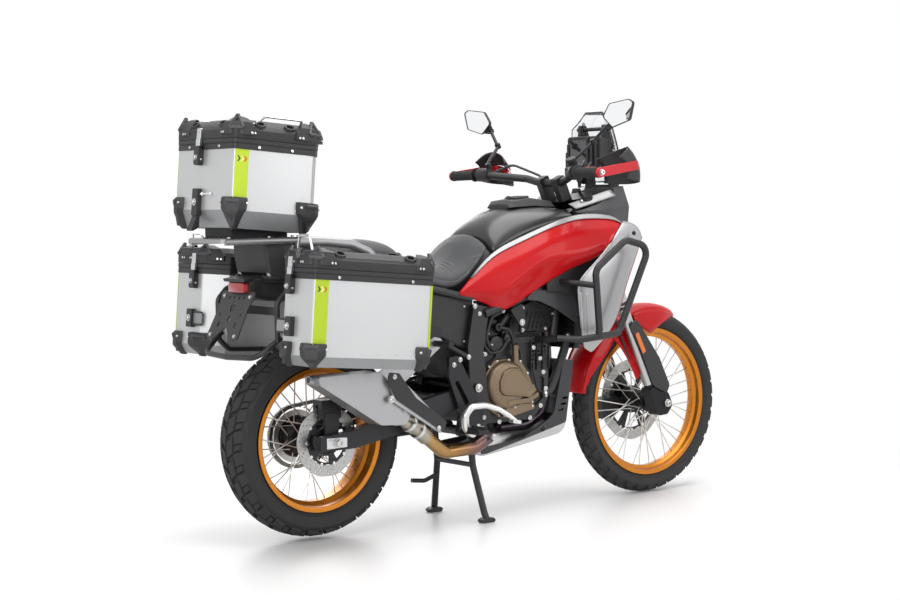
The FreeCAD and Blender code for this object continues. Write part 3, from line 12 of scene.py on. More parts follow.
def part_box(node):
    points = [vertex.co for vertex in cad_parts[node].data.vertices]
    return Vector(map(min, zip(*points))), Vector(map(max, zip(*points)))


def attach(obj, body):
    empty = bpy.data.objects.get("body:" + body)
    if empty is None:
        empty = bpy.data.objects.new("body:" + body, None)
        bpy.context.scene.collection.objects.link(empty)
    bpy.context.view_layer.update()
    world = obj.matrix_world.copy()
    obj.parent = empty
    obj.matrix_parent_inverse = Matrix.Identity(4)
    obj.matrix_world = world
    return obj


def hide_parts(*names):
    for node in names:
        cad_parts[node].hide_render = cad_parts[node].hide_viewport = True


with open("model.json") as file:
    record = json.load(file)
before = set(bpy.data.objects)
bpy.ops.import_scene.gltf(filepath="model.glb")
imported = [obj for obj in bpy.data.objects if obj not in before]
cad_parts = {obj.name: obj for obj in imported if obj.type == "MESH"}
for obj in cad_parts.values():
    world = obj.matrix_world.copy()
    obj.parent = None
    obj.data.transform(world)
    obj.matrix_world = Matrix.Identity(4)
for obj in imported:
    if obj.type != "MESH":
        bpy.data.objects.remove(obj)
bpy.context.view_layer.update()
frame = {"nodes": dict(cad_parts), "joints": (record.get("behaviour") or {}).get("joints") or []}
nodes = frame["nodes"]
joints = {joint["name"]: joint for joint in frame["joints"]}


# ------------------------------------------------------------ camera
# A long lens at hip height, behind the machine on its right-hand side.
# Points are written in mm from the rear axle's place on the floor, and `at` puts them in the frame.

ORIGIN_X = joints["rear_wheel_spin"]["pos_m"][0]


def at(x, y, z):
    return Vector((x / 1000 + ORIGIN_X, y / 1000, z / 1000))


def aim_camera(place, yaw, pitch, roll, focal_share):
    yaw, pitch, roll = (math.radians(turn) for turn in (yaw, pitch, roll))
    ahead = Vector((math.cos(yaw) * math.cos(pitch), math.sin(yaw) * math.cos(pitch), -math.sin(pitch)))
    right = Vector((math.sin(yaw), -math.cos(yaw), 0))
    up = right.cross(ahead)
    right, up = (right * math.cos(roll) + up * math.sin(roll),
                 up * math.cos(roll) - right * math.sin(roll))
    data = bpy.data.cameras.new("camera")
    data.sensor_width = 36
    data.lens = focal_share * data.sensor_width
    data.clip_end = 60
    camera = bpy.data.objects.new("camera", data)
    camera.matrix_world = Matrix.Translation(place) @ Matrix((right, up, -ahead)).transposed().to_4x4()
    bpy.context.scene.collection.objects.link(camera)
    bpy.context.scene.camera = camera


aim_camera(at(-3469, -5384, 1154), yaw=52.95, pitch=3.2, roll=-0.85, focal_share=2.122556)


# ------------------------------------------------------------ frame and subframe
# Welded steel tube and plate, powder coated satin black. The coat has a fine orange peel,
# and dust and handling leave its gloss uneven.

class Wire:
    """An output of a shader node. Sums on it add Math nodes."""

    def __init__(self, nodes, socket):
        self.nodes, self.socket = nodes, socket

    def sum(self, how, a, b=0.0):
        return self.nodes.node("Math", {"operation": how}, {0: a, 1: b})

    def __add__(self, other):
        return self.sum("ADD", self, other)

    def __sub__(self, other):
        return self.sum("SUBTRACT", self, other)

    def __rsub__(self, other):
        return self.sum("SUBTRACT", other, self)

    def __mul__(self, other):
        return self.sum("MULTIPLY", self, other)

    def __truediv__(self, other):
        return self.sum("DIVIDE", self, other)

    def __pow__(self, other):
        return self.sum("POWER", self, other)

    def __gt__(self, other):
        return self.sum("GREATER_THAN", self, other)

    def __lt__(self, other):
        return self.sum("LESS_THAN", self, other)

    __radd__, __rmul__ = __add__, __mul__

    def max(self, other):
        return self.sum("MAXIMUM", self, other)

    def clamp(self):
        return self.sum("MINIMUM", self.max(0.0), 1.0)

    def abs(self):
        return self.sum("ABSOLUTE", self)


class Nodes:
    """A node tree. One method makes every node in it."""

    def __init__(self, tree):
        self.tree = tree

    def node(self, kind, settings=None, inputs=None, output=0):
        made = self.tree.nodes.new("ShaderNode" + kind)
        for words, value in (settings or {}).items():
            if words == "stops":
                ramp = made.color_ramp
                while len(ramp.elements) < len(value):
                    ramp.elements.new(1.0)
                for stop, (place, colour) in zip(ramp.elements, value):
                    stop.position, stop.color = place, (*colour, 1)
            else:
                setattr(made, words, value)
        for socket, value in (inputs or {}).items():
            into = made.inputs[socket]
            if isinstance(value, Wire):
                self.tree.links.new(value.socket, into)
            else:
                into.default_value = (*value, 1) if into.type == "RGBA" else value
        return Wire(self, made.outputs[output])

    def rays(self, *kinds):
        """One where a ray is of any of these kinds, such as Camera."""
        path = self.node("LightPath").socket.node
        seen = [Wire(self, path.outputs[f"Is {kind} Ray"]) for kind in kinds]
        while len(seen) > 1:
            seen.append(seen.pop(0).max(seen.pop(0)))
        return seen[0]

    def finish(self, output, wire):
        self.tree.links.new(wire.socket, self.tree.nodes[output].inputs[0])


class Look(Nodes):
    """A material. Its fixed numbers sit on the shader's own sockets; `set` links what varies."""

    def __init__(self, name, slot, colour, roughness, metallic=0.0, **fixed):
        self.slot, self.colour, self.roughness = slot, colour, roughness
        self.material = bpy.data.materials.new(name)
        self.material.use_nodes = True
        super().__init__(self.material.node_tree)
        self.shader = self.tree.nodes["Principled BSDF"]
        fixed = {"base_color": (*colour, 1), "roughness": roughness, "metallic": metallic, **fixed}
        for words, value in fixed.items():
            socket = words.replace("_", " ").title().replace("Ior", "IOR")
            self.shader.inputs[socket].default_value = value

    def set(self, socket, wire):
        self.tree.links.new(wire.socket, self.shader.inputs[socket])
        return self

    def place(self, stretch=(1, 1, 1)):
        spot = self.node("TexCoord", output="Object")
        return self.node("Mapping", {}, {"Vector": spot, "Scale": stretch})

    def axes(self):
        """The three coordinates in the frame, in metres."""
        split = self.node("SeparateXYZ", {}, {0: self.node("TexCoord", output="Object")}).socket.node
        return [Wire(self, socket) for socket in split.outputs]

    def noise(self, scale, detail=2.0, stretch=(1, 1, 1)):
        return self.node("TexNoise", {}, {"Vector": self.place(stretch), "Scale": scale, "Detail": detail})

    def cells(self, scale):
        """Distance to the edges of a grid of square cells, as in a reflector."""
        return self.node("TexVoronoi", {"feature": "DISTANCE_TO_EDGE"},
                         {"Vector": self.place(), "Scale": scale, "Randomness": 0.0})

    def mix(self, share, a, b):
        return self.node("Mix", {"data_type": "RGBA"}, {0: share, 6: a, 7: b}, output=2)

    def bump(self, height, depth):
        return self.set("Normal", self.node("Bump", {},
                                            {"Strength": 1.0, "Distance": depth, "Height": height}))

    def worn(self, mottle=0.12, grain=900.0, depth=0.00008, spread=0.08, stretch=(1, 1, 1)):
        """Uneven tone and gloss in soft clouds, with a fine grain in the surface."""
        cloud = self.noise(9.0, 3.0)
        dark = tuple(channel * (1 - mottle) for channel in self.colour)
        light = tuple(min(1.0, channel * (1 + mottle)) for channel in self.colour)
        self.set("Base Color", self.mix(cloud, dark, light))
        fine = self.noise(grain, 2.0, stretch)
        self.set("Roughness", (cloud - 0.5) * spread + (fine - 0.5) * spread + self.roughness)
        return self.bump(fine, depth)


def dress(look, *names):
    """Puts a finish on the frame's own meshes."""
    for name in names:
        data = nodes[name].data
        data.materials.clear()
        data.materials.append(look.material)
        data.polygons.foreach_set("material_index", [0] * len(data.polygons))


black_steel = Look("black_steel", "black_steel", (.013, .013, .015), .42).worn(spread=.16)
dress(black_steel, "frame", "subframe", "crash_bars", "pannier_racks", "centre_stand", "side_stand",
      "shock")


# ------------------------------------------------------------ swingarm and shock
# The swingarm is a black alloy casting. Milled axle blocks slide in its open ends,
# each with a scale of lines and a nut, and set the chain's slack.

ALONG, ASIDE, ABOVE = Vector((1, 0, 0)), Vector((0, 1, 0)), Vector((0, 0, 1))
AXLE_Z = joints["rear_wheel_spin"]["pos_m"][2] * 1000
BOTH, RIGHT, LEFT = (1, -1), (-1,), (1,)


def beside(y):
    """Puts outline points, x and z in mm, into the upright plane at a distance to the side."""
    return lambda point: at(point[0], y, point[1])


def rounded(rows, steps=5):
    """Outline points from rows of two coordinates and a corner radius."""
    points = []
    for i, (a, b, radius) in enumerate(rows):
        corner = Vector((a, b))
        back, ahead = Vector(rows[i - 1][:2]) - corner, Vector(rows[(i + 1) % len(rows)][:2]) - corner
        half = back.angle(ahead, 3.1) / 2
        if radius < 0.05 or half > 1.55:
            points.append(corner)
            continue
        run = min(radius / math.tan(half), back.length * 0.48, ahead.length * 0.48)
        start, stop = corner + back.normalized() * run, corner + ahead.normalized() * run
        for step in range(steps + 1):
            share = step / steps
            points.append(start.lerp(corner, share).lerp(corner.lerp(stop, share), share))
    return points


def fillet(points, bend, steps=6):
    """A path through 3-D points with its corners rounded."""
    path = [points[0]]
    for back, corner, ahead in zip(points, points[1:], points[2:]):
        a, b = back - corner, ahead - corner
        half = a.angle(b) / 2
        run = min(bend / math.tan(half), a.length * 0.45, b.length * 0.45)
        start, stop = corner + a.normalized() * run, corner + b.normalized() * run
        path += [start.lerp(corner, s / steps).lerp(corner.lerp(stop, s / steps), s / steps)
                 for s in range(steps + 1)]
    return path + [points[-1]]


class Form:
    """Faces gathered for one piece, in metres in the frame."""

    def __init__(self):
        self.points, self.faces = [], []

    def add(self, points, faces):
        first = len(self.points)
        self.points += points
        self.faces += [[first + i for i in face] for face in faces]
        return self

    def rings(self, rings, caps=True):
        """Skins equal rings of points, each closed on itself."""
        count, last = len(rings[0]), len(rings) - 1
        faces = [[i * count + k, i * count + (k + 1) % count, (i + 1) * count + (k + 1) % count,
                  (i + 1) * count + k] for i in range(last) for k in range(count)]
        if caps:
            faces += [list(range(count))[::-1], [last * count + k for k in range(count)]]
        return self.add([point for ring in rings for point in ring], faces)

    def pipe(self, path, radius, sides=16):
        """A round bar along a path; the radius may be a list, one for each point."""
        radii = radius if isinstance(radius, list) else [radius] * len(path)
        across = (path[1] - path[0]).normalized().orthogonal().normalized()
        rings = []
        for i, point in enumerate(path):
            ahead = run_of(path, i)
            across = (across - ahead * across.dot(ahead)).normalized()
            rings.append([point + (across * math.cos(t) + ahead.cross(across) * math.sin(t)) * radii[i]
                          for t in (math.tau * k / sides for k in range(sides))])
        return self.rings(rings)

    def slab(self, outline, near, far):
        """Between two copies of an outline, each put in place by a function of its points."""
        return self.rings([[near(point) for point in outline], [far(point) for point in outline]])

    def plate(self, outline, near, far, sides=BOTH):
        """An outline in x and z, between two distances from the middle plane."""
        for side in sides:
            self.slab(outline, beside(side * near), beside(side * far))
        return self

    def turned(self, rows, centre, axis, steps=64, caps=True):
        """Rows of distance along the axis and radius, turned about it, in mm."""
        side = axis.orthogonal().normalized()
        other = axis.cross(side)
        rings = [[centre + axis * (along / 1000)
                  + (side * math.cos(math.tau * k / steps) + other * math.sin(math.tau * k / steps))
                  * (radius / 1000) for k in range(steps)] for along, radius in rows]
        return self.rings(rings, caps)

    def boss(self, rows, x, y, z, steps, sides=BOTH):
        """Turned rows that stand out from the sides."""
        for side in sides:
            self.turned(rows, at(x, side * y, z), ASIDE * side, steps)
        return self

    def bolt(self, place, way, radius=5.0, washer=0.0):
        """A cap screw with a round recess, its head standing along `way`."""
        rows = [(-2, radius), (radius * 0.7, radius), (radius * 0.9, radius * 0.82),
                (radius * 0.9, radius * 0.5), (radius * 0.4, radius * 0.44)]
        if washer:
            rows = [(-2, washer), (1.2, washer)] + [(a + 1.2, r) for a, r in rows[1:]]
            rows.insert(2, (1.2, radius))
        return self.turned(rows, place, way.normalized(), 14)

    def bolts(self, spots, y, radius, washer=0.0, sides=BOTH):
        """Cap screws at spots of x and z, at a distance from the middle plane."""
        for side in sides:
            for x, z in spots:
                self.bolt(at(x, side * y, z), ASIDE * side, radius, washer)

    def mirrored(self):
        """The same form with its copy on the other side."""
        first = len(self.points)
        self.points += [Vector((p.x, -p.y, p.z)) for p in self.points[:first]]
        self.faces += [[first + i for i in face][::-1] for face in self.faces[:]]
        return self

    def moved(self, turn):
        self.points = [turn @ point for point in self.points]
        return self

    def piece(self, name, look, body="chassis", **how):
        mesh = bpy.data.meshes.new(name)
        mesh.from_pydata([tuple(point) for point in self.points], [], self.faces)
        return finish_piece(name, mesh, look, body, **how)


def run_of(path, i):
    """The way a path runs at one of its points."""
    return (path[min(i + 1, len(path) - 1)] - path[max(i - 1, 0)]).normalized()


def finish_piece(name, mesh, look, body="chassis", sharp=32, bevel=0.0, rounds=2, subdivide=0, thick=0.0):
    """Faces set outwards and shaded, edges rounded, finish put on, and the piece set to ride."""
    work = bmesh.new()
    work.from_mesh(mesh)
    bmesh.ops.remove_doubles(work, verts=work.verts, dist=1e-6)
    bmesh.ops.recalc_face_normals(work, faces=work.faces)
    work.to_mesh(mesh)
    work.free()
    mesh.polygons.foreach_set("use_smooth", [True] * len(mesh.polygons))
    if not subdivide:
        mesh.set_sharp_from_angle(angle=math.radians(sharp))
    mesh.materials.clear()
    mesh.materials.append(look.material)
    piece = bpy.data.objects.new(name, mesh)
    bpy.context.scene.collection.objects.link(piece)
    if subdivide:
        fine = piece.modifiers.new("fine", "SUBSURF")
        fine.levels = fine.render_levels = subdivide
        fine.boundary_smooth = "PRESERVE_CORNERS"
    if thick:
        wall = piece.modifiers.new("wall", "SOLIDIFY")
        wall.thickness, wall.offset = thick / 1000, 0
    if bevel:
        edge = piece.modifiers.new("edge", "BEVEL")
        edge.width, edge.segments, edge.limit_method = bevel / 1000, rounds, "ANGLE"
        edge.angle_limit = math.radians(sharp)
        edge.harden_normals = True
    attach(piece, body)
    return piece


black_alloy = Look("black_alloy", "black_alloy", (.03, .03, .033), .38, .6).worn(.2, 1400, .00012, .14)
steel = Look("bright_steel", "steel", (.62, .62, .61), .28, 1.0).worn(.08, 1800, .00002, .18)
milled = Look("milled_alloy", "silver_alloy", (.6, .61, .62), .34, 1.0).worn(.06, 700, .00004, .2, (1, 1, 8))
dress(black_alloy, "swingarm", "rear_caliper", "front_caliper", "footpegs", "radiator")

blocks, scale, nuts = Form(), Form(), Form()
blocks.plate(rounded([(-44, AXLE_Z - 18, 3), (36, AXLE_Z - 16, 3), (36, AXLE_Z + 16, 3),
                      (-44, AXLE_Z + 18, 3)]), 158, 167)
for x in range(-36, 0, 6):
    scale.plate([(x, AXLE_Z + 8), (x + 1.2, AXLE_Z + 8), (x + 1.2, AXLE_Z + 15), (x, AXLE_Z + 15)],
                166, 167.4)
nuts.boss([(0, 17), (4, 17), (4, 14), (16, 14), (17.5, 12.5), (17.5, 8), (12, 7)], 0, 165, AXLE_Z, 6)
for side in BOTH:
    nuts.turned([(0, 5), (26, 5), (27, 4), (27, 0.5)], at(-62, side * 150, AXLE_Z), ALONG, 12)
blocks.piece("axle_blocks", milled, bevel=1.2)
scale.piece("axle_scales", black_steel)
nuts.piece("axle_nuts", steel, bevel=0.8)


# ------------------------------------------------------------ wheels
# Aluminium rims, anodised gold, laced to black hubs with crossed stainless spokes.
# The tyres are block-pattern rubber for road and gravel, moulded in one piece with their lugs.

rubber = Look("tyre_rubber", "tyre", (.021, .021, .022), .74)
rubber.worn(.3, 1500, .00025, .1)
gold = Look("gold_rim", "gold_alloy", (.56, .19, .009), .3, .85, coat_weight=.35, coat_roughness=.15)
gold.worn(.1, 1100, .00002, .12)
dress(gold, "rear_rim", "front_rim")


def spoked_look(name, axle, hub_radius):
    """One finish for a hub and its spokes: black inside the flange, bright steel beyond it."""
    look = Look(name, "black_alloy", (.03, .03, .033), .35, .8)
    x, _, z = look.axes()
    reach = ((x - axle.x) ** 2 + (z - axle.z) ** 2) ** 0.5
    spoke = reach > hub_radius / 1000
    look.set("Base Color", look.mix(spoke, (.03, .03, .033), (.66, .66, .64)))
    look.set("Roughness", look.noise(300.0) * .15 + .3)
    look.set("Metallic", spoke * .3 + .7)
    return look


def tread(form, centre, radius, crown, lugs):
    """Raised lugs. Rows: how many, first turn, from and to across, length, slant, depth."""
    for count, first, near, far, length, slant, depth in lugs:
        for i in range(count):
            rings = []
            for rise, inset in ((-depth, -0.6), (0, 0.9)):
                ring = []
                for end, share in ((-1, 0), (-1, .33), (-1, .66), (-1, 1),
                                   (1, 1), (1, .66), (1, .33), (1, 0)):
                    y = near + (far - near) * share + {0: inset, 1: -inset}.get(share, 0)
                    turn = (math.tau * (i + first) / count + end * (length / 2 - inset) / radius
                            + slant * (share - 0.5))
                    r = (radius - crown * y * y + rise) / 1000
                    ring.append(centre + Vector((r * math.cos(turn), y / 1000, r * math.sin(turn))))
                rings.append(ring)
            foot = len(form.points)
            form.rings(rings, caps=False)
            for start, turn in ((foot + 8, 1), (foot, -1)):
                form.faces += [[start + k, start + k + 1, start + 6 - k, start + 7 - k][::turn]
                               for k in range(3)]


def tyre(end, body, crown, depth, lugs):
    low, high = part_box(end + "_tyre")
    centre = (low + high) / 2
    radius, half = (high.x - low.x) * 500, (high.y - low.y) * 500
    rim_low, rim_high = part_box(end + "_rim")
    rim, bead = (rim_high.x - rim_low.x) * 500, (rim_high.y - rim_low.y) * 500 - 7
    arch = [(half * s, radius - depth - crown * (half * s) ** 2) for s in (0, .3, .55, .75, .9)]
    wall = [(half * .985, radius - depth - crown * half * half - 9), (half, (radius + rim) / 2 + 6),
            (half * .97, (radius + rim) / 2 - 14), (half * .9, rim + 14), (half * .9 + 1.6, rim + 12),
            (half * .88, rim + 8), (bead + 2, rim + 3.5), (bead, rim + 1), (bead - 3, rim - 6),
            (bead - 9, rim - 6), (bead - 6, rim + 4), (half * .8, (radius + rim) / 2)]
    right = arch + wall
    rows = [(-y, r) for y, r in reversed(right)] + right[1:]
    form = Form().turned(rows + [rows[0]], centre, ASIDE, 120, caps=False)
    tread(form, centre, radius, crown, lugs)
    piece = form.piece(end + "_tread_tyre", rubber, body, sharp=40)
    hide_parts(end + "_tyre")
    return centre


rear_axle = tyre("rear", "rear_wheel", crown=.0040, depth=8.5,
                 lugs=[(28, 0, -33, -3, 54, .05, 9), (28, .5, 3, 33, 54, -.05, 9),
                       (28, .5, -68, -38, 44, .03, 9), (28, 0, 38, 68, 44, -.03, 9),
                       (28, .0, -60, -40, 20, .03, 6), (28, .5, 40, 60, 20, -.03, 6)])
front_axle = tyre("front", "front_wheel", crown=.0118, depth=6.5,
                  lugs=[(38, 0, -20, -2, 40, .03, 7), (38, .5, 2, 20, 40, -.03, 7),
                        (38, .5, -42, -24, 36, .03, 7), (38, 0, 24, 42, 36, -.03, 7)])
dress(spoked_look("rear_hub_finish", rear_axle, hub_radius=72), "rear_hub")
dress(spoked_look("front_hub_finish", front_axle, hub_radius=50), "front_hub")


# ------------------------------------------------------------ brake discs
# Stainless rotors drilled through for water and dust, riveted to black carriers.
# They are cut from sheet, so a flat outline with holes makes each.

def ring_points(radius, count=96, centre=(0, 0), wave=0.0, waves=0):
    """A circle, whose radius may rise and fall in waves."""
    turns = [math.tau * k / count for k in range(count)]
    return [(centre[0] + (radius + wave * math.cos(waves * t)) * math.cos(t),
             centre[1] + (radius + wave * math.cos(waves * t)) * math.sin(t)) for t in turns]


def cut_sheet(name, outlines, thick, turn, look, body="chassis", edge=0.3):
    """A flat part: the first outline is its edge, the others are holes, in mm."""
    curve = bpy.data.curves.new(name, "CURVE")
    curve.dimensions, curve.fill_mode = "2D", "BOTH"
    curve.extrude, curve.bevel_depth, curve.offset = thick / 2000 - edge / 1000, edge / 1000, -edge / 1000
    curve.bevel_resolution = 0
    for outline in outlines:
        spline = curve.splines.new("POLY")
        spline.points.add(len(outline) - 1)
        for point, (a, b) in zip(spline.points, outline):
            point.co = (a / 1000, b / 1000, 0, 1)
        spline.use_cyclic_u = True
    flat = bpy.data.objects.new(name, curve)
    mesh = bpy.data.meshes.new_from_object(flat)
    bpy.data.objects.remove(flat)
    bpy.data.curves.remove(curve)
    mesh.transform(turn)
    mesh.name = name
    return finish_piece(name, mesh, look, body)


disc_steel = Look("disc_steel", "disc_steel", (.42, .42, .41), .33, 1.0)
disc_steel.worn(.1, 2400, .00003, .2)


def brake_disc(end, body, axle, outer, inner, carrier, hub, arms, holes):
    low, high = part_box(end + "_disc")
    middle = Vector((axle.x, (low.y + high.y) / 2, axle.z))
    standing = Matrix.Translation(middle) @ Matrix(((1, 0, 0), (0, 0, -1), (0, 1, 0))).to_4x4()
    drilled = []
    for i in range(holes):
        for row in range(3):
            turn = math.tau * (i + row * .33) / holes
            r = inner + (outer - inner) * (.24 + .26 * row)
            drilled.append(ring_points(2.6, 10, (r * math.cos(turn), r * math.sin(turn))))
    edges = [ring_points(outer, 144, wave=1.2, waves=arms * 2), ring_points(inner, 96)]
    rotor = cut_sheet(end + "_rotor", edges + drilled, 4.5, standing, disc_steel, body)
    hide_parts(end + "_disc")
    windows = []
    for i in range(arms):
        turns = [math.tau * (i + share) / arms for share in (.17, .28, .39, .5, .61, .72, .83)]
        windows.append([(r * math.cos(t), r * math.sin(t)) for r, row in
                        ((carrier - 9, turns), (hub + 9, turns[::-1])) for t in row])
    edges = [ring_points(carrier, 120, wave=3, waves=arms * 2), ring_points(hub, 48)]
    cut_sheet(end + "_disc_carrier", edges + windows, 6, standing, black_alloy, body)
    rivets = Form()
    for a, b in ring_points(inner, arms * 2):
        rivets.turned([(-3.6, 5), (-3.2, 6), (3.2, 6), (3.6, 5)], middle + Vector((a, 0, b)) / 1000,
                      ASIDE, 16)
    rivets.piece(end + "_disc_rivets", steel, body)


brake_disc("rear", "rear_wheel", rear_axle, outer=118, inner=80, carrier=80, hub=40, arms=5, holes=26)
brake_disc("front", "front_wheel", front_axle, outer=155, inner=118, carrier=118, hub=44, arms=6, holes=36)


# ------------------------------------------------------------ engine
# A parallel twin with black painted cases and a bronze anodised clutch cover. The cases are die
# castings, slightly rough, held together by plated cap screws.

engine_black = Look("engine_black", "engine_alloy", (.035, .035, .037), .48, .5)
engine_black.worn(.22, 700, .0004, .14)
bronze = Look("bronze_cover", "bronze_alloy", (.215, .16, .105), .42, .85)
bronze.worn(.12, 900, .0003, .12)
black_plastic = Look("black_plastic", "black_plastic", (.016, .016, .018), .5)
black_plastic.worn(.14, 1300, .00018, .1)
dress(engine_black, "engine", "cylinders")


def about(centre, outline, share):
    """An outline grown about its own middle."""
    return [centre + (point - centre) * share for point in outline]


def terraced(form, outline, rows, side):
    """A raised panel in steps. Rows: distance from the middle plane, and the outline's share."""
    middle = sum(outline, Vector((0, 0))) / len(outline)
    form.rings([[beside(side * y)(point) for point in about(middle, outline, share)]
                for y, share in rows], caps=False)


heads, clutch, alternator = Form(), Form(), Form()
clutch.plate(rounded([(625, 440, 22), (632, 520, 24), (672, 566, 16), (730, 568, 20), (790, 560, 24),
                      (826, 512, 20), (850, 460, 18), (842, 400, 14), (745, 366, 14), (690, 366, 12),
                      (640, 400, 26)]), 136, 150, RIGHT)
clutch.boss([(0, 90), (14, 90), (16, 86), (34, 83), (42, 76), (44, 70), (44, .5)], 714, 138, 478, 72, RIGHT)
nose = rounded([(690, 525, 18), (717, 536, 12), (748, 534, 14), (780, 508, 14), (828, 456, 10),
                (800, 434, 10), (690, 448, 18), (674, 464, 12), (674, 494, 12)])
terraced(clutch, nose, ((150, 1.2), (180, 1.12), (189, 1.06), (191.5, .99), (191.5, .93), (189.5, .9),
                        (189.5, .02)), -1)
clutch.plate(rounded([(696, 392, 8), (775, 408, 8), (836, 404, 8), (834, 386, 6), (745, 368, 8),
                      (690, 364, 8)]), 148, 172, RIGHT)
clutch.plate(rounded([(700, 424, 6), (800, 428, 6), (846, 446, 6), (846, 430, 6), (800, 412, 6),
                      (710, 406, 6)]), 148, 184, RIGHT)
clutch.pipe([at(762, -158, 612), at(762, -158, 552)], .011, 20)
clutch.turned([(0, 14), (6, 14), (6, 11), (12, 11)], at(762, -158, 604), ABOVE, 20)
heads.bolts(((632, 452), (634, 500), (650, 545), (686, 562), (738, 563), (790, 556), (822, 512), (846, 464),
             (842, 408), (790, 380), (742, 372), (692, 372), (650, 402)), 149, 5, sides=RIGHT)
heads.bolts(((714, 400), (746, 398), (826, 396)), 171, 4.4, sides=RIGHT)
piece = clutch.piece("clutch_cover", bronze, bevel=1.6)
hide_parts("engine_covers")

alternator.boss([(0, 78), (22, 78), (30, 72), (34, 60), (40, 56), (46, 46), (50, 44), (50, .5)],
                765, 138, 480, 72, LEFT)
studs = ring_points(76, 8, (765, 480))
for x, z in studs:
    alternator.boss([(0, 9), (26, 9), (28, 7)], x, 138, z, 18, LEFT)
heads.bolts(studs, 165, 5, sides=LEFT)
alternator.plate(rounded([(602, 520, 20), (690, 530, 24), (690, 420, 24), (640, 410, 16), (602, 470, 14)]),
                 138, 149, LEFT)
alternator.piece("alternator_cover", engine_black, bevel=1.5)

# crankcase screws, cylinder panels with their webs, and the fins under them
webs = Form()
case_screws = ((590, 380), (600, 520), (640, 590), (700, 600), (860, 600), (890, 560), (905, 510),
               (915, 450), (890, 390), (840, 350), (700, 348), (606, 440))
for x, z in case_screws:
    heads.boss([(-4, 9), (3, 9), (5, 7)], x, 138, z, 16)
heads.bolts(case_screws, 142, 4.4)
panel = rounded([(812, 650, 8), (816, 704, 16), (832, 752, 20), (872, 768, 20), (984, 726, 16),
                 (972, 690, 16), (930, 650, 10)])
for side in BOTH:
    terraced(webs, panel, ((112, 1), (124, 1), (126, .98), (126, .93), (122, .91), (122, .02)), side)
for k in range(6):
    x, top = 826 + k * 20, 730 - k * 3
    webs.plate([(x, 664), (x + 3, 664), (x + 25, top), (x + 22, top)], 120, 127)
for k in range(3):
    x, far, z = 830 + k * 8, 950 + k * 2, 682 + k * 18
    webs.plate([(x, z), (far, z - 10), (far + 1, z - 7), (x + 1, z + 3)], 120, 125.5)
for row in range(6):
    for k in range(3):
        x, z = 846 + k * 28 - row, 612 - row * 15
        webs.plate([(x, z), (x + 22, z + 2), (x + 22, z - 2), (x + 11, z - 7), (x, z - 3)], 136, 142)
for k in range(4):
    webs.plate([(842 + k * 28, 520), (845 + k * 28, 520), (848 + k * 27, 628), (845 + k * 27, 628)], 136, 146)
webs.plate(rounded([(746, 741, 6), (798, 762, 8), (820, 690, 8), (806, 674, 8), (788, 684, 8)]), 146, 154)
heads.bolts(((826, 742), (966, 716), (930, 664), (824, 664)), 124, 5, 8)
heads.bolts([(798, 694)], 154, 7, 12)
webs.piece("cylinder_panels", engine_black, bevel=.8)

# throttle bodies, hoses and clips beside the barrels
throttles, hoses, clips = Form(), Form(), Form()
throttles.boss([(0, 30), (14, 30), (16, 26), (34, 26), (36, 29), (44, 29), (46, 24), (46, 10)],
               686, 104, 622, 40)
throttles.boss([(0, 15), (30, 15), (32, 18), (40, 18), (42, 14)], 742, 104, 640, 24)
throttles.boss([(0, 12), (34, 12), (36, 14), (42, 14)], 700, 104, 682, 20)
throttles.plate(rounded([(650, 646, 8), (716, 652, 8), (722, 700, 10), (666, 716, 12), (646, 690, 10)]),
                96, 120)
throttles.plate(rounded([(722, 600, 5), (780, 606, 5), (784, 662, 8), (730, 668, 8)]), 104, 126)
heads.bolts(((646, 700), (672, 706), (716, 690), (668, 660), (732, 612), (774, 656), (734, 660)), 124, 4)
for side in BOTH:
    throttles.pipe([at(700, side * 126, 668), at(758, side * 120, 724)], .014, 20)
    for points, radius in (
            ([(1034, 132, 640), (1012, 128, 580), (986, 122, 506), (944, 126, 440), (898, 128, 428)], 16),
            ([(660, 140, 612), (640, 146, 650), (668, 142, 720), (730, 136, 738)], 7),
            ([(700, 146, 682), (742, 150, 672), (762, 146, 640), (766, 144, 600)], 6),
            ([(742, 146, 640), (706, 152, 600), (660, 150, 590), (632, 146, 620), (640, 140, 700)], 5),
            ([(776, 128, 660), (790, 132, 620), (800, 142, 580), (796, 146, 556)], 5),
            ([(864, 136, 560), (850, 150, 520), (860, 152, 470), (888, 140, 440)], 4),
            ([(610, 140, 560), (622, 140, 640), (650, 132, 716), (700, 130, 780)], 4)):
        hoses.pipe(fillet([at(x, side * y, z) for x, y, z in points], .03), radius / 1000, 16)
    for x, y, z, radius, way in ((1030, 132, 628, 18, (.3, 0, 1)), (912, 128, 430, 18, (1, 0, .2)),
                                 (664, 141, 622, 8.5, (-.5, 0, 1)), (722, 137, 736, 8.5, (1, 0, .3))):
        clips.turned([(-5, radius - 2), (-5, radius), (5, radius), (5, radius - 2)], at(x, side * y, z),
                     Vector(way).normalized(), 24)
        heads.bolt(at(x, side * (y + radius), z), ASIDE * side, 3.2)
throttles.piece("throttle_bodies", black_alloy, bevel=1.2)
hoses.piece("coolant_hoses", black_plastic)
clips.piece("hose_clips", steel)
heads.piece("engine_screws", steel)


# ------------------------------------------------------------ exhaust and skid plate
# Stainless pipe that has coloured with heat, into a satin silver silencer with a black shield.
# A folded alloy tray guards the sump: black at the sides and bare below.

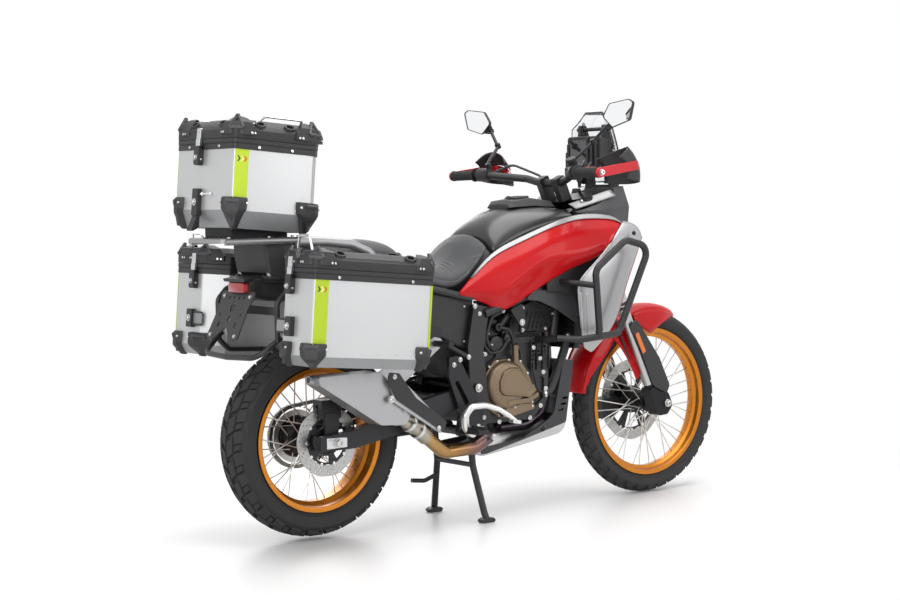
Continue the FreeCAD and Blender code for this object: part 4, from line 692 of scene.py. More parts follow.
heat_steel = Look("heat_tinted_pipe", "heat_steel", (.36, .22, .09), .3, 1.0)
x, y, z = heat_steel.axes()
PIPE_END, HEAT_RUN = -.42, .3125
along = ((x - PIPE_END) / HEAT_RUN).clamp()
heat_stops = [(0, (.4, .36, .3)), (.12, (.42, .27, .11)), (.45, (.36, .2, .07)), (.75, (.22, .12, .1)),
              (1, (.12, .1, .12))]
tint = heat_steel.node("ValToRGB", {"stops": heat_stops}, {0: along + (heat_steel.noise(14.0) - .5) * .12})
heat_steel.set("Base Color", tint)
heat_steel.set("Roughness", heat_steel.noise(220.0) * .16 + .22)
dress(heat_steel, "exhaust_pipes")
muffler_silver = Look("muffler_silver", "muffler_silver", (.4, .4, .41), .4, .85)
muffler_silver.worn(.08, 1500, .00006, .14)
dress(muffler_silver, "muffler")
shield = Form().plate(rounded([(338, 356, 8), (150, 478, 14), (112, 540, 10), (118, 572, 8), (160, 566, 8),
                               (226, 480, 14), (352, 392, 10)]), 293, 297, RIGHT)
shield.piece("muffler_shield", black_plastic, bevel=1.2)
fixings = Form()
for x, z, radius in ((126, 482, 9), (318, 372, 6), (140, 556, 6)):
    fixings.bolts([(x, z)], 296, radius, radius * 1.4, RIGHT)
for x, y, z in ((258, -209, 387), (300, -201, 359)):
    fixings.turned([(-7, 26), (-7, 31), (-2, 32), (2, 32), (7, 31), (7, 26)], at(x, y, z),
                   Vector((-.86, -.16, .48)), 40)
fixings.piece("exhaust_fixings", steel)

skid_look = Look("skid_plate_finish", "silver_alloy", (.5, .5, .51), .4, .8)
x, y, z = skid_look.axes()
SUMP_HALF_WIDTH, SUMP_Z, NOSE_X = .115, .29, .27
lower_edge = ((x - .1) * 4.4 - (z - .306) * 18.0).clamp() > .5
bare = lower_edge.max((y.abs() < SUMP_HALF_WIDTH) * ((z < SUMP_Z) + (x > NOSE_X)).clamp())
skid_look.set("Base Color", skid_look.mix(bare, (.03, .03, .033), (.52, .52, .53)))
skid_look.set("Metallic", bare * .7 + .1)
skid_look.set("Roughness", skid_look.noise(400.0) * .14 + .34)
dress(skid_look, "skid_plate")


# ------------------------------------------------------------ chain, pegs and pedals
# A sealed roller chain in dark oiled steel. The pegs are cast, with teeth for grip, and the brake
# pedal is a bright forged hook.

chain_steel = Look("chain_steel", "steel", (.2, .19, .17), .36, 1.0).worn(.25, 900, .00006, .2)
bright_alloy = Look("bright_alloy", "silver_alloy", (.72, .72, .71), .3, .9).worn(.05, 800, .00005, .12)
dress(chain_steel, "chain")

TEETH, PITCH_RADIUS, CHAIN_Y = 34, .1005, .092
teeth, pads, marks = Form(), Form(), Form()
for k in range(TEETH):
    turn = math.tau * (k + .5) / TEETH
    teeth.turned([(-2.6, 2.6), (2.6, 2.6)],
                 Vector((rear_axle.x + PITCH_RADIUS * math.cos(turn), CHAIN_Y,
                         rear_axle.z + PITCH_RADIUS * math.sin(turn))), ASIDE, 8)
teeth.piece("sprocket_teeth", chain_steel, "rear_wheel")
for y in range(200, 284, 12):
    for x in (496, 534):
        pads.plate([(x - 3, 346), (x + 3, 346), (x + 1.5, 354), (x - 1.5, 354)], y, y + 7)
pads.piece("peg_teeth", black_alloy)
pedal = fillet([at(*spot) for spot in ((520, -208, 328), (496, -210, 350), (492, -214, 394), (518, -218, 421),
                                       (574, -222, 422), (624, -232, 406), (662, -246, 380),
                                       (682, -252, 362))], .03, 8)
hook = Form().pipe(pedal, [.0145 - .0065 * k / len(pedal) for k in range(len(pedal))], 16)
hook.turned([(-10, 15), (-8, 17), (8, 17), (10, 15)], at(524, -208, 331), ASIDE, 28)
hook.plate(rounded([(664, 356, 4), (700, 350, 4), (702, 362, 4), (668, 370, 4)]), 236, 262, RIGHT)
hook.pipe(fillet([at(600, 186, 372), at(700, 200, 352), at(716, 232, 350)], .02), .0062, 14)
hook.turned([(-12, 10), (-10, 13), (10, 13), (12, 10)], at(600, 180, 372), ASIDE, 24)
piece = hook.piece("pedals", bright_alloy, bevel=.8)
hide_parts("foot_controls")
toe = Form().turned([(0, 7), (2, 9.5), (36, 9.5), (38, 7)], at(716, 224, 350), ASIDE, 20)
toe.piece("gear_lever_rubber", rubber)
marks.bolts(((473, 566), (500, 582), (575, 345), (500, 340)), 180, 6, 9)
marks.bolts([(380, 646)], 190, 6, 8)
marks.bolts([(524, 331)], 218, 8, 13, RIGHT)
marks.bolts([(628, 306)], 200, 7, 11, RIGHT)
for x, y, z, radius in ((583, 175, 478, 15), (575, 170, 763, 9), (545, 170, 588, 9), (612, 166, 372, 8),
                        (598, 166, 735, 8)):
    marks.bolts([(x, z)], y, radius * .7, radius)
marks.piece("frame_bolts", steel)


# ------------------------------------------------------------ painted bodywork
# Injection moulded side panels and mudguard in gloss red, lacquered, over a moulded black tank.
# The panels snap and screw on, and a silver stripe runs along each top edge.

# the fork's legs swing back to this plane at full lock, so the tank's front stays behind it
RAKE = math.radians(24)
FORK_AHEAD = Vector((math.cos(RAKE), 0, math.sin(RAKE)))
FORK_SWEEP, FORK_HALF_WIDTH = .152, .18
FORK_ROOM = Vector((front_axle.x, 0, front_axle.z)) - FORK_AHEAD * FORK_SWEEP


def lofted(stations):
    """A closed form, the same on both sides. A station: x, then y and z from the top middle down."""
    form = Form().rings([[at(x, -y, z) for y, z in side] + [at(x, y, z) for y, z in reversed(side) if y]
                         for x, *side in stations])
    for point in form.points:
        over = (point - FORK_ROOM).dot(FORK_AHEAD)
        if over > 0 and abs(point.y) < FORK_HALF_WIDTH:
            point.x -= over / FORK_AHEAD.x
    return form


def grid(columns, rows):
    """Faces between columns of equally many points."""
    return [[c * rows + r, c * rows + r + 1, (c + 1) * rows + r + 1, (c + 1) * rows + r]
            for c in range(columns - 1) for r in range(rows - 1)]


def skin(columns, name, look, body="chassis", thick=4.0, subdivide=2, creases=(), both=True):
    """A moulded panel through columns of points, with sharp feature lines along chosen rows."""
    rows = len(columns[0])
    form = Form().add([at(*point) for column in columns for point in column], grid(len(columns), rows))
    count = len(form.points)
    if both:
        form.mirrored()
    mesh = bpy.data.meshes.new(name)
    mesh.from_pydata([tuple(point) for point in form.points], [], form.faces)
    sharp = mesh.attributes.new("crease_edge", "FLOAT", "EDGE")
    for edge in mesh.edges:
        a, b = (v % count % rows for v in edge.vertices)
        sharp.data[edge.index].value = .8 if a == b and a in creases else 0
    return finish_piece(name, mesh, look, body, thick=thick, subdivide=subdivide)


red_paint = Look("red_paint", "red_plastic", (.52, 0, .003), .4, coat_weight=.22, coat_roughness=.05,
                 specular_ior_level=.2)
red_paint.worn(.05, 60, .00003, .06)
silver_paint = Look("silver_paint", "silver_plastic", (.3, .3, .3), .4, .5, coat_weight=.3,
                    coat_roughness=.15)
silver_paint.worn(.05, 1600, .00002, .08)
satin_black = Look("satin_black", "black_plastic", (.014, .014, .016), .3, coat_weight=.3,
                   coat_roughness=.25)
satin_black.worn(.1, 900, .00005, .08)
grey_plastic = Look("grey_plastic", "grey_plastic", (.045, .046, .05), .46)
grey_plastic.worn(.08, 1100, .0001, .08)
dress(black_plastic, "tail", "cockpit")
dress(grey_plastic, "upper_fairing")

panel_rows = [
    [(508, -163, 808), (507, -170, 806), (517, -168, 802), (532, -166, 796), (550, -160, 792)],
    [(566, -158, 859), (558, -180, 839), (569, -182, 814), (590, -172, 795), (609, -164, 778)],
    [(662, -152, 943), (631, -190, 875), (621, -195, 800), (637, -178, 775), (648, -166, 757)],
    [(762, -160, 981), (710, -200, 901), (667, -206, 793), (679, -186, 760), (690, -168, 731)],
    [(841, -166, 1010), (794, -210, 941), (760, -216, 864), (771, -194, 817), (778, -180, 776)],
    [(938, -175, 1044), (889, -220, 982), (851, -226, 924), (857, -206, 871), (859, -195, 825)],
    [(1037, -183, 1069), (978, -228, 1001), (919, -240, 926), (933, -226, 894), (948, -214, 872)],
    [(1128, -190, 1067), (1058, -235, 1007), (985, -252, 935), (1010, -245, 916), (1038, -235, 903)],
    [(1192, -199, 1059), (1136, -238, 1012), (1065, -256, 948), (1076, -255, 936), (1091, -252, 927)],
    [(1222, -212, 1034), (1200, -227, 1022), (1172, -242, 1005), (1153, -250, 994), (1132, -260, 981)]]
panel = skin(panel_rows, "tank_panels", red_paint, creases=(1, 2))
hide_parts("tank")
stripe = []
for i, row in enumerate(panel_rows[1:10]):
    top, low = Vector(row[0]), Vector(row[1])
    lower = .15 + .012 * min(i, 6) - .05 * max(i - 6, 0)
    stripe.append([tuple(top.lerp(low, share) + Vector((0, -lift, 2)))
                   for share, lift in ((-.05, 1.5), (.06, 4.5), (lower, 6))])
skin(stripe, "tank_stripes", silver_paint, thick=2)
lofted([(480, (0, 850), (120, 850), (150, 820), (150, 790), (0, 785)),
        (660, (0, 985), (116, 980), (140, 930), (140, 790), (0, 790)),
        (880, (0, 1050), (130, 1044), (150, 960), (150, 880), (0, 880)),
        (1060, (0, 1065), (140, 1060), (170, 980), (150, 920), (0, 930)),
        (1090, (0, 1060), (136, 1054), (165, 990), (150, 960), (0, 960))]).piece(
    "tank_body", black_plastic, subdivide=1)
shell = lofted([(672, (0, 1008), (70, 1000), (118, 975), (146, 946), (144, 930), (0, 930)),
                (684, (0, 1040), (70, 1032), (120, 1004), (152, 958), (148, 936), (0, 940)),
                (730, (0, 1072), (74, 1064), (126, 1034), (158, 982), (152, 955), (0, 960)),
                (800, (0, 1098), (78, 1092), (130, 1066), (164, 1010), (156, 985), (0, 990)),
                (880, (0, 1108), (82, 1102), (132, 1082), (170, 1038), (160, 1010), (0, 1010)),
                (960, (0, 1106), (84, 1102), (134, 1090), (175, 1058), (165, 1030), (0, 1030)),
                (1046, (0, 1098), (84, 1096), (136, 1088), (178, 1074), (170, 1040), (0, 1040)),
                (1066, (0, 1084), (80, 1084), (130, 1080), (172, 1066), (164, 1040), (0, 1040))])
shell = shell.piece("tank_shell", satin_black, subdivide=2)
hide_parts("tank_cover")
deck = lofted([(818, (0, 1112), (52, 1109), (66, 1098), (0, 1080)),
               (832, (0, 1126), (58, 1122), (74, 1100), (0, 1080)),
               (920, (0, 1137), (66, 1132), (84, 1104), (0, 1080)),
               (1010, (0, 1124), (68, 1120), (88, 1098), (0, 1080)),
               (1053, (0, 1108), (64, 1105), (84, 1088), (0, 1075))])
deck.piece("tank_console", black_plastic, bevel=2.5, sharp=25)
skin([[(1050, -180, 1066), (1050, -150, 1058)], [(1110, -190, 1060), (1110, -156, 1050)],
      [(1190, -206, 1050), (1190, -160, 1046)]], "tank_ledges", black_plastic, thick=3)
lofted([(270, (0, 884), (110, 884), (136, 868), (132, 846), (0, 846)),
        (330, (0, 890), (116, 888), (140, 872), (138, 846), (0, 846)),
        (380, (0, 880), (120, 878), (146, 860), (142, 842), (0, 842))]).piece(
    "seat_base", black_plastic, bevel=2)
infill = rounded([(784, 776, 10), (828, 806, 12), (908, 806, 12), (1012, 790, 12), (1032, 702, 8),
                  (1022, 682, 6), (936, 732, 20), (850, 768, 10)])
infills = Form().plate(infill, 182, 190).plate(about(Vector((920, 760)), infill, .86), 189, 192)
infills.piece("side_infills", grey_plastic, bevel=1.5)
skin([[(880, -194, 890), (880, -194, 800)], [(980, -200, 925), (970, -206, 790)],
      [(1080, -214, 958), (1070, -220, 770)], [(1150, -226, 985), (1150, -226, 770)]],
     "inner_panels", black_plastic, thick=3)
cap = Form().turned([(-4, 44), (5, 44), (8, 40), (8, 30), (6, 29), (6, 0.5)], at(905, 0, 1131),
                    Vector((-.06, 0, 1)).normalized(), 48)
for x, y in ring_points(36, 6, (905, 0)):
    cap.bolt(at(x, y, 1138), ABOVE, 3)
cap.piece("fuel_cap", black_alloy, bevel=.6)


# ------------------------------------------------------------ seats
# Foam on a hard pan, in a fine-grained vinyl cover pulled tight and stapled below.
# A sewn seam with pale thread runs along each shoulder.

PUFF_STEPS, VOXEL = 20, .006
CREASE_WIDTH, CREASE_DEPTH, STITCH, THREAD_RADIUS = .009, .0022, .003, .0006


def cushion(name, node, stations, seams, cap):
    """A pad blown up from its cut shape by `cap` mm at most, then creased and stitched."""
    blank = lofted(stations).piece(name + "_blank", seat_cover)
    fine = blank.modifiers.new("fine", "SUBSURF")
    fine.levels = 2
    voxels = blank.modifiers.new("voxels", "REMESH")
    voxels.mode, voxels.voxel_size = "VOXEL", VOXEL
    mesh = bpy.data.meshes.new_from_object(blank.evaluated_get(bpy.context.evaluated_depsgraph_get()))
    bpy.data.objects.remove(blank)
    piece = finish_piece(name, mesh, seat_cover, sharp=80)
    pan = piece.vertex_groups.new(name="pan")
    pan.add([v.index for v in mesh.vertices if v.normal.z < -.4], 1.0, "REPLACE")
    start = [v.co.copy() for v in mesh.vertices]
    cloth = piece.modifiers.new("puff", "CLOTH")
    cloth.settings.use_pressure = True
    cloth.settings.uniform_pressure_force = 4
    cloth.settings.effector_weights.gravity = 0
    cloth.settings.vertex_group_mass = "pan"
    cloth.point_cache.frame_start, cloth.point_cache.frame_end = 1, PUFF_STEPS
    for step in range(1, PUFF_STEPS + 1):
        bpy.context.scene.frame_set(step)
    shaped = piece.evaluated_get(bpy.context.evaluated_depsgraph_get()).data
    ends = [v.co.copy() for v in shaped.vertices]
    piece.modifiers.remove(cloth)
    bpy.context.scene.frame_set(1)
    for vertex, a, b in zip(mesh.vertices, start, ends):
        vertex.co = a + (b - a) * min(1, cap / 1000 / max((b - a).length, 1e-9))
    stitches = Form()
    for seam in seams:
        for side in BOTH:
            mesh.update()
            surface = BVHTree.FromPolygons([v.co for v in mesh.vertices], [p.vertices for p in mesh.polygons])
            path = fillet([at(x, side * y, z) for x, y, z in seam], .06, 10)
            laid = []
            for a, b in zip(path, path[1:]):
                count = max(1, round((b - a).length / STITCH))
                laid += [surface.find_nearest(a.lerp(b, k / count))[:2] for k in range(count)]
            line = KDTree(len(laid))
            for i, (spot, _) in enumerate(laid):
                line.insert(spot, i)
            line.balance()
            for vertex in mesh.vertices:
                _, i, reach = line.find(vertex.co)
                if reach < CREASE_WIDTH:
                    vertex.co -= laid[i][1] * CREASE_DEPTH * (1 - reach / CREASE_WIDTH) ** 2
            for (a, _), (b, normal) in list(zip(laid, laid[1:]))[::2]:
                if (b - a).length < 2 * STITCH:
                    sunk = normal * (2 * THREAD_RADIUS)
                    stitches.pipe([a - sunk, a.lerp(b, .5) - normal * .0002, b - sunk], THREAD_RADIUS, 6)
    stitches.piece(name + "_stitches", thread)
    smooth = piece.modifiers.new("fine", "SUBSURF")
    smooth.levels = smooth.render_levels = 1
    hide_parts(node)


seat_cover = Look("seat_cover", "seat_cover", (.034, .035, .038), .62, sheen_weight=.25, sheen_roughness=.4)
seat_cover.worn(.1, 1500, .0004, .1)
thread = Look("seat_thread", "seat_cover", (.34, .34, .34), .7).worn(.1, 3000, .0001, .05)

cushion("rider_pad", "rider_seat", [
    (326, (0, 938), (80, 936), (136, 918), (146, 880), (140, 852), (0, 852)),
    (400, (0, 905), (86, 903), (146, 886), (158, 850), (150, 830), (0, 832)),
    (490, (0, 890), (86, 888), (148, 872), (164, 836), (156, 812), (0, 830)),
    (560, (0, 926), (80, 921), (136, 900), (162, 872), (156, 858), (0, 860)),
    (618, (0, 990), (72, 984), (124, 958), (154, 930), (150, 912), (0, 912)),
    (652, (0, 1014), (62, 1006), (112, 984), (144, 960), (140, 948), (0, 948)),
    (668, (0, 1010), (52, 1002), (100, 984), (132, 966), (126, 958), (0, 958))],
    [[(340, 138, 900), (420, 154, 868), (500, 162, 850), (560, 156, 884), (615, 148, 944),
      (650, 136, 974)]], cap=7)
cushion("pillion_pad", "pillion_seat", [
    (-74, (0, 992), (70, 990), (112, 972), (120, 940), (112, 908), (0, 908)),
    (60, (0, 998), (90, 996), (134, 976), (144, 936), (134, 896), (0, 896)),
    (200, (0, 1000), (90, 998), (138, 976), (146, 934), (138, 884), (0, 884)),
    (262, (0, 996), (84, 994), (136, 968), (146, 924), (138, 876), (0, 876)),
    (314, (0, 952), (80, 950), (130, 936), (142, 908), (134, 872), (0, 872))],
    [[(-60, 116, 964), (60, 142, 960), (200, 144, 960), (300, 138, 930)]], cap=6)


# ------------------------------------------------------------ radiator shrouds
# Flat silver blades that lead air to the radiator, trimmed with a red line at the front edge.

shroud_grey = Look("shroud_silver", "silver_plastic", (.42, .42, .43), .34, .5, coat_weight=.5,
                   coat_roughness=.12)
shroud_grey.worn(.05, 1400, .00002, .08)
blade_rows = [
    [(1222, -219, 1042), (1246, -224, 1040), (1270, -230, 1030), (1288, -236, 1012), (1294, -240, 986)],
    [(1170, -246, 1004), (1196, -256, 1000), (1222, -260, 990), (1250, -258, 968), (1268, -250, 946)],
    [(1092, -264, 938), (1122, -272, 934), (1156, -274, 922), (1196, -270, 902), (1234, -256, 884)],
    [(1020, -268, 884), (1052, -274, 874), (1096, -277, 862), (1148, -274, 846), (1204, -259, 830)],
    [(962, -264, 836), (1006, -271, 822), (1058, -274, 800), (1118, -271, 778), (1184, -256, 768)],
    [(968, -258, 790), (1008, -265, 776), (1052, -268, 752), (1106, -266, 728), (1166, -252, 714)],
    [(982, -251, 716), (1012, -257, 708), (1046, -260, 690), (1090, -257, 670), (1136, -248, 660)],
    [(996, -245, 640), (1014, -250, 634), (1036, -252, 626), (1066, -249, 618), (1096, -244, 618)],
    [(1012, -241, 594), (1022, -243, 588), (1032, -244, 582), (1042, -243, 578), (1050, -241, 582)]]
piece = skin(blade_rows, "shroud_blades", shroud_grey, thick=4)
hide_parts("shrouds")
for k in range(2):
    rib = [[(974 + across + k * 26 + t * 18, -262 - out - k * 4 + t * 12, 800 - k * 5.2 - t * 150)
            for across, out in ((0, 0), (5, 8), (10, 0))] for t in (0, .3, .7, 1)]
    skin(rib, f"shroud_rib_{k}", shroud_grey, thick=1.5)
front = [[(x + dx, y + 3 - dx * .2, z + dz) for dx, dz in ((-4, 1), (5, -2))]
         for x, y, z in (row[4] for row in blade_rows)]
skin(front, "shroud_trims", red_paint, thick=3)
stays = Form()
for side in BOTH:
    stays.pipe([at(1046, side * 172, 700), at(1046, side * 246, 700)], .007, 14)
stays.bolts([(1228, 1000)], 272, 5, 8)
stays.piece("shroud_stays", black_alloy)


# ------------------------------------------------------------ fork, mudguard, bars and mirrors
# An upside-down fork in satin clear-anodised tube with black clamps and guards. The bar is a
# tapered black tube with ribbed rubber grips, and cables and hoses loop from it to the headstock.

FRONT = Vector((front_axle.x, 0, front_axle.z))
FORK_BACK = Vector((-math.sin(RAKE), 0, math.cos(RAKE)))


def on_fork(ahead, y, up):
    """Points in mm ahead of, beside and up along the fork legs from the front axle."""
    return FRONT + (FORK_AHEAD * ahead + ASIDE * y + FORK_BACK * up) / 1000


def fork_side(y):
    return lambda point: on_fork(point[0], y, point[1])


tube_silver = Look("fork_tube_silver", "silver_alloy", (.5, .5, .5), .3, .95)
x, y, z = tube_silver.axes()
AXLE_FOOT, LOWER_CLAMP, UPPER_CLAMP = .1, (.655, .695), (.845, .884)
rise = (z - FRONT.z) * math.cos(RAKE) - (x - FRONT.x) * math.sin(RAKE)
lower, upper = ((rise > low) * (rise < high) for low, high in (LOWER_CLAMP, UPPER_CLAMP))
black_parts = lower.max(upper).max(rise < AXLE_FOOT)
tube_silver.set("Base Color", tube_silver.mix(black_parts, (.5, .5, .5), (.03, .03, .033)))
tube_silver.set("Roughness", tube_silver.noise(500.0, 2.0, (1, 1, .1)) * .14 + .24)
dress(tube_silver, "fork")
dress(black_plastic, "fork_guards", "handlebar")


GUARD_RADIUS, GUARD_HALF_WIDTH = 349, 62


def guard_point(turn, radius, y):
    """On the front mudguard: degrees up from straight ahead, and mm from the axle."""
    turn = math.radians(turn)
    return ((front_axle.x - ORIGIN_X) * 1000 + radius * math.cos(turn), y,
            front_axle.z * 1000 + radius * math.sin(turn))


band = []
for turn, half, lift in ((65, 12, 14), (68, 26, 18), (73, 42, 22), (82, 54, 27), (94, 60, 30), (108, 62, 31),
                         (122, 62, 32), (136, 62, 34), (148, 62, 36), (158, 60, 34), (166, 56, 28),
                         (171, 50, 20)):
    band.append([guard_point(turn, GUARD_RADIUS + lift - drop, y * half / GUARD_HALF_WIDTH) for y, drop in
                 ((-62, 26), (-56, 14), (-34, 3), (0, 0), (34, 3), (56, 14), (62, 26))])
guard = skin(band, "mudguard_band", red_paint, "steering", thick=3.5, creases=(1, 5), both=False)
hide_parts("mudguard")
wing = [[guard_point(turn, GUARD_RADIUS + lift, -top), guard_point(turn, low, -bottom)]
        for turn, lift, top, low, bottom in
        ((67, -2, 20, 340, 18), (75, 4, 47, 320, 48), (84, 6, 60, 296, 66), (93, 8, 64, 272, 72),
         (98, 8, 66, 262, 76), (103, 8, 67, 290, 76), (109, 8, 67, 330, 72))]
skin(wing, "mudguard_wings", red_paint, "steering", thick=3.5)
for name, thick, rows in (
        ("mudguard_sides", 3.5, (((126, 374, 64), (126, 340, 74)), ((138, 374, 64), (138, 322, 78)),
                                 ((150, 374, 63), (149, 330, 74)), ((160, 370, 61), (159, 344, 66)),
                                 ((169, 362, 54), (168, 352, 56)))),
        ("mudguard_arms", 4, (((117, 376, 68), (131, 376, 68)), ((119, 300, 86), (131, 300, 86)),
                              ((123, 220, 95), (134, 226, 95)), ((136, 152, 98), (143, 160, 98))))):
    skin([[guard_point(turn, radius, -y) for turn, radius, y in row] for row in rows], name, red_paint,
         "steering", thick=thick)

amber = Look("amber_reflector", "lamp_red", (.75, .16, .01), .22, coat_weight=.6)
amber.bump(amber.cells(420.0), .0004)
LEG_AHEAD, LEG_OUT = -32, 105
lamps, nuts, collars, grips, levers, pots, guards, shields, bits = (Form() for _ in range(9))
for side in BOTH:
    lamps.slab(rounded([(-46, 316, 5), (-28, 318, 5), (-24, 234, 5), (-42, 232, 5)]),
               fork_side(side * 139), fork_side(side * 143))
    for up, radius in ((424, 30), (440, 29), (840, 28.5)):
        collars.turned([(-5, radius - 2), (-5, radius), (5, radius), (5, radius - 2)],
                       on_fork(LEG_AHEAD, side * LEG_OUT, up), FORK_BACK, 48)
    for up in (668, 682, 858, 872):
        bits.bolt(on_fork(-66, side * 128, up), -FORK_AHEAD, 5)
    bits.turned([(-4, 14), (4, 14), (6, 12), (6, 8), (2, 7)],
                on_fork(LEG_AHEAD, side * LEG_OUT, 905), FORK_BACK, 6)
    nuts.turned([(0, 16), (5, 16), (5, 12), (14, 12), (15, 10), (15, 6), (8, 6)], on_fork(0, side * 130, 0),
                ASIDE * side, 6)
lamps.piece("fork_reflectors", amber, "steering", bevel=1)
collars.piece("fork_seals", black_plastic, "steering", bevel=.6)
nuts.piece("front_axle_nuts", steel, "steering", bevel=.8)

grip_rubber = Look("grip_rubber", "tyre", (.02, .02, .021), .8).worn(.15, 1800, .0002, .08)
lever_red = Look("lever_red", "red_plastic", (.5, .012, .02), .34, .6, coat_weight=.4)
lever_red.worn(.06, 900, .00003, .1)
mirror_glass = Look("mirror_glass", "steel", (.9, .91, .92), .05, 1.0)
mirror_glass.set("Roughness", mirror_glass.noise(90.0) * .02 + .01)
BAR_AHEAD, BAR_UP, BAR_END = -72, 949, 415


def on_bar(ahead, y, up):
    """Points in mm ahead of, beside and above the bar's clamp."""
    return on_fork(BAR_AHEAD + ahead, y, BAR_UP + up)


for side in BOTH:
    start, stop = on_bar(-100, side * 290, 81), on_bar(-109, side * BAR_END, 83)
    way = (stop - start).normalized()
    length = (stop - start).length * 1000
    rows = [(0, 15), (0, 24), (3, 25), (6, 24), (8, 17.6)]
    rows += [(12 + k * 4 + s, r) for k in range(int((length - 24) / 4))
             for s, r in ((0, 17.4), (1, 18.3), (2.6, 18.3), (3.4, 17.4))]
    rows += [(length - 8, 18), (length - 6, 19.5), (length - 1, 19.5), (length, 16)]
    grips.turned(rows, start, way, 32)
    # lever blade, a round bar tapering to a knob at its tip, and its perch
    path = fillet([on_bar(ahead, side * y, up) for ahead, y, up in
                   ((-66, 250, 72), (-40, 268, 70), (-46, 330, 72), (-60, 384, 74))], .03)
    levers.pipe(path, [.0072 - .0028 * k / len(path) for k in range(len(path))], 12)
    levers.turned([(-6, 3), (-4, 7), (2, 8), (6, 6), (8, 2)], path[-1],
                  (path[-1] - path[-3]).normalized(), 16)
    bits.turned([(-14, 9), (14, 9)], on_bar(-66, side * 250, 72), FORK_BACK, 20)
    grips.turned([(0, 15.5), (0, 25), (34, 25), (36, 22), (36, 15.5)], on_bar(-84, side * 240, 72), way, 6)
grips.piece("grips", grip_rubber, "steering", sharp=40)
levers.piece("brake_and_clutch_levers", lever_red, "steering")

# a reservoir, the switch housings with their buttons, and the bar's clamps
pots.turned([(0, 16), (4, 19), (26, 19), (28, 21), (34, 21), (36, 19)], on_bar(-60, -232, 84), FORK_BACK, 32)
for side in BOTH:
    for outline, near, far in (([(-100, 62, 6), (-62, 62, 8), (-62, 94, 8), (-104, 100, 8)], 232, 282),
                               ([(-24, 4, 8), (24, 4, 8), (22, 22, 8), (-22, 22, 8)], 30, 60)):
        pots.slab(rounded(outline), lambda p: on_bar(p[0], side * near, p[1]),
                  lambda p: on_bar(p[0], side * far, p[1]))
    for k in range(3):
        pots.turned([(0, 5), (5, 5), (6, 4)], on_bar(-104, side * (242 + k * 13), 74 + (k % 2) * 12),
                    -FORK_AHEAD, 16)
pots.piece("bar_controls", black_plastic, "steering", bevel=1.5)
hoses = Form()
for side, rows in ((-1, ((238, 66, 5), (252, 74, 3.4), (264, 60, 3))), (1, ((240, 70, 4.4), (256, 62, 3.2)))):
    for k, (y, up, radius) in enumerate(rows):
        hoses.pipe(fillet([on_bar(-62 + k * 8, side * y, up), on_bar(6 + k * 16, side * (y - 46), up + 6),
                           on_bar(46 + k * 12, side * (110 - k * 14), 10 - k * 18),
                           on_bar(60, side * (64 - k * 10), -70 - k * 12),
                           on_bar(52, side * (44 - k * 8), -150)], .05), radius / 1000, 10)
hoses.pipe(fillet([on_fork(-4, -40, 800), on_fork(-40, -66, 660), on_fork(-72, -92, 560),
                   on_fork(-74, -96, 400), on_fork(-74, -92, 260), on_fork(-66, -92, 160)], .06), .0042, 10)
hoses.piece("cables_and_hoses", black_plastic, "steering")

# handguards: a flat red bar from the bar's end to the clamp, and black shields above and below
for side in BOTH:
    path = fillet([on_bar(ahead, side * y, up) for ahead, y, up in
                   ((-106, BAR_END + 6, 82), (88, BAR_END - 2, 26), (86, 330, 12), (-26, 200, 42))], .05, 8)
    rings = []
    for i, p in enumerate(path):
        ahead = run_of(path, i)
        up = (FORK_BACK - ahead * ahead.dot(FORK_BACK)).normalized()
        tall, wide = up * (.017 - .006 * i / (len(path) - 1)), ahead.cross(up) * .004
        rings.append([p + tall + wide, p + tall - wide, p - tall - wide, p - tall + wide])
    guards.rings(rings)
    guards.turned([(-8, 15), (-6, 18), (4, 18), (7, 14)], on_bar(-108, side * (BAR_END + 4), 82),
                  ASIDE * side, 32)
    bits.bolt(on_bar(-106, side * (BAR_END + 12), 82), ASIDE * side, 9, 11)
    for step, reach in ((12, 62), (-12, -52)):
        points = []
        for ahead, y, up, share in ((20, BAR_END - 2, 46, .5), (70, BAR_END - 2, 34, .9),
                                    (96, BAR_END - 26, 26, 1), (98, 360, 18, 1), (78, 310, 18, .9),
                                    (40, 262, 26, .6)):
            points += [on_bar(ahead - lean, side * (y - lean * .2), up + step + reach * share * height)
                       for height, lean in ((0, 0), (.5, 4), (1, 16))]
        shields.add(points, grid(6, 3))
guards.piece("handguard_bars", lever_red, "steering", bevel=1.5)
piece = shields.piece("handguard_shields", black_plastic, "steering", thick=3.5, subdivide=2)
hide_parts("handguards")

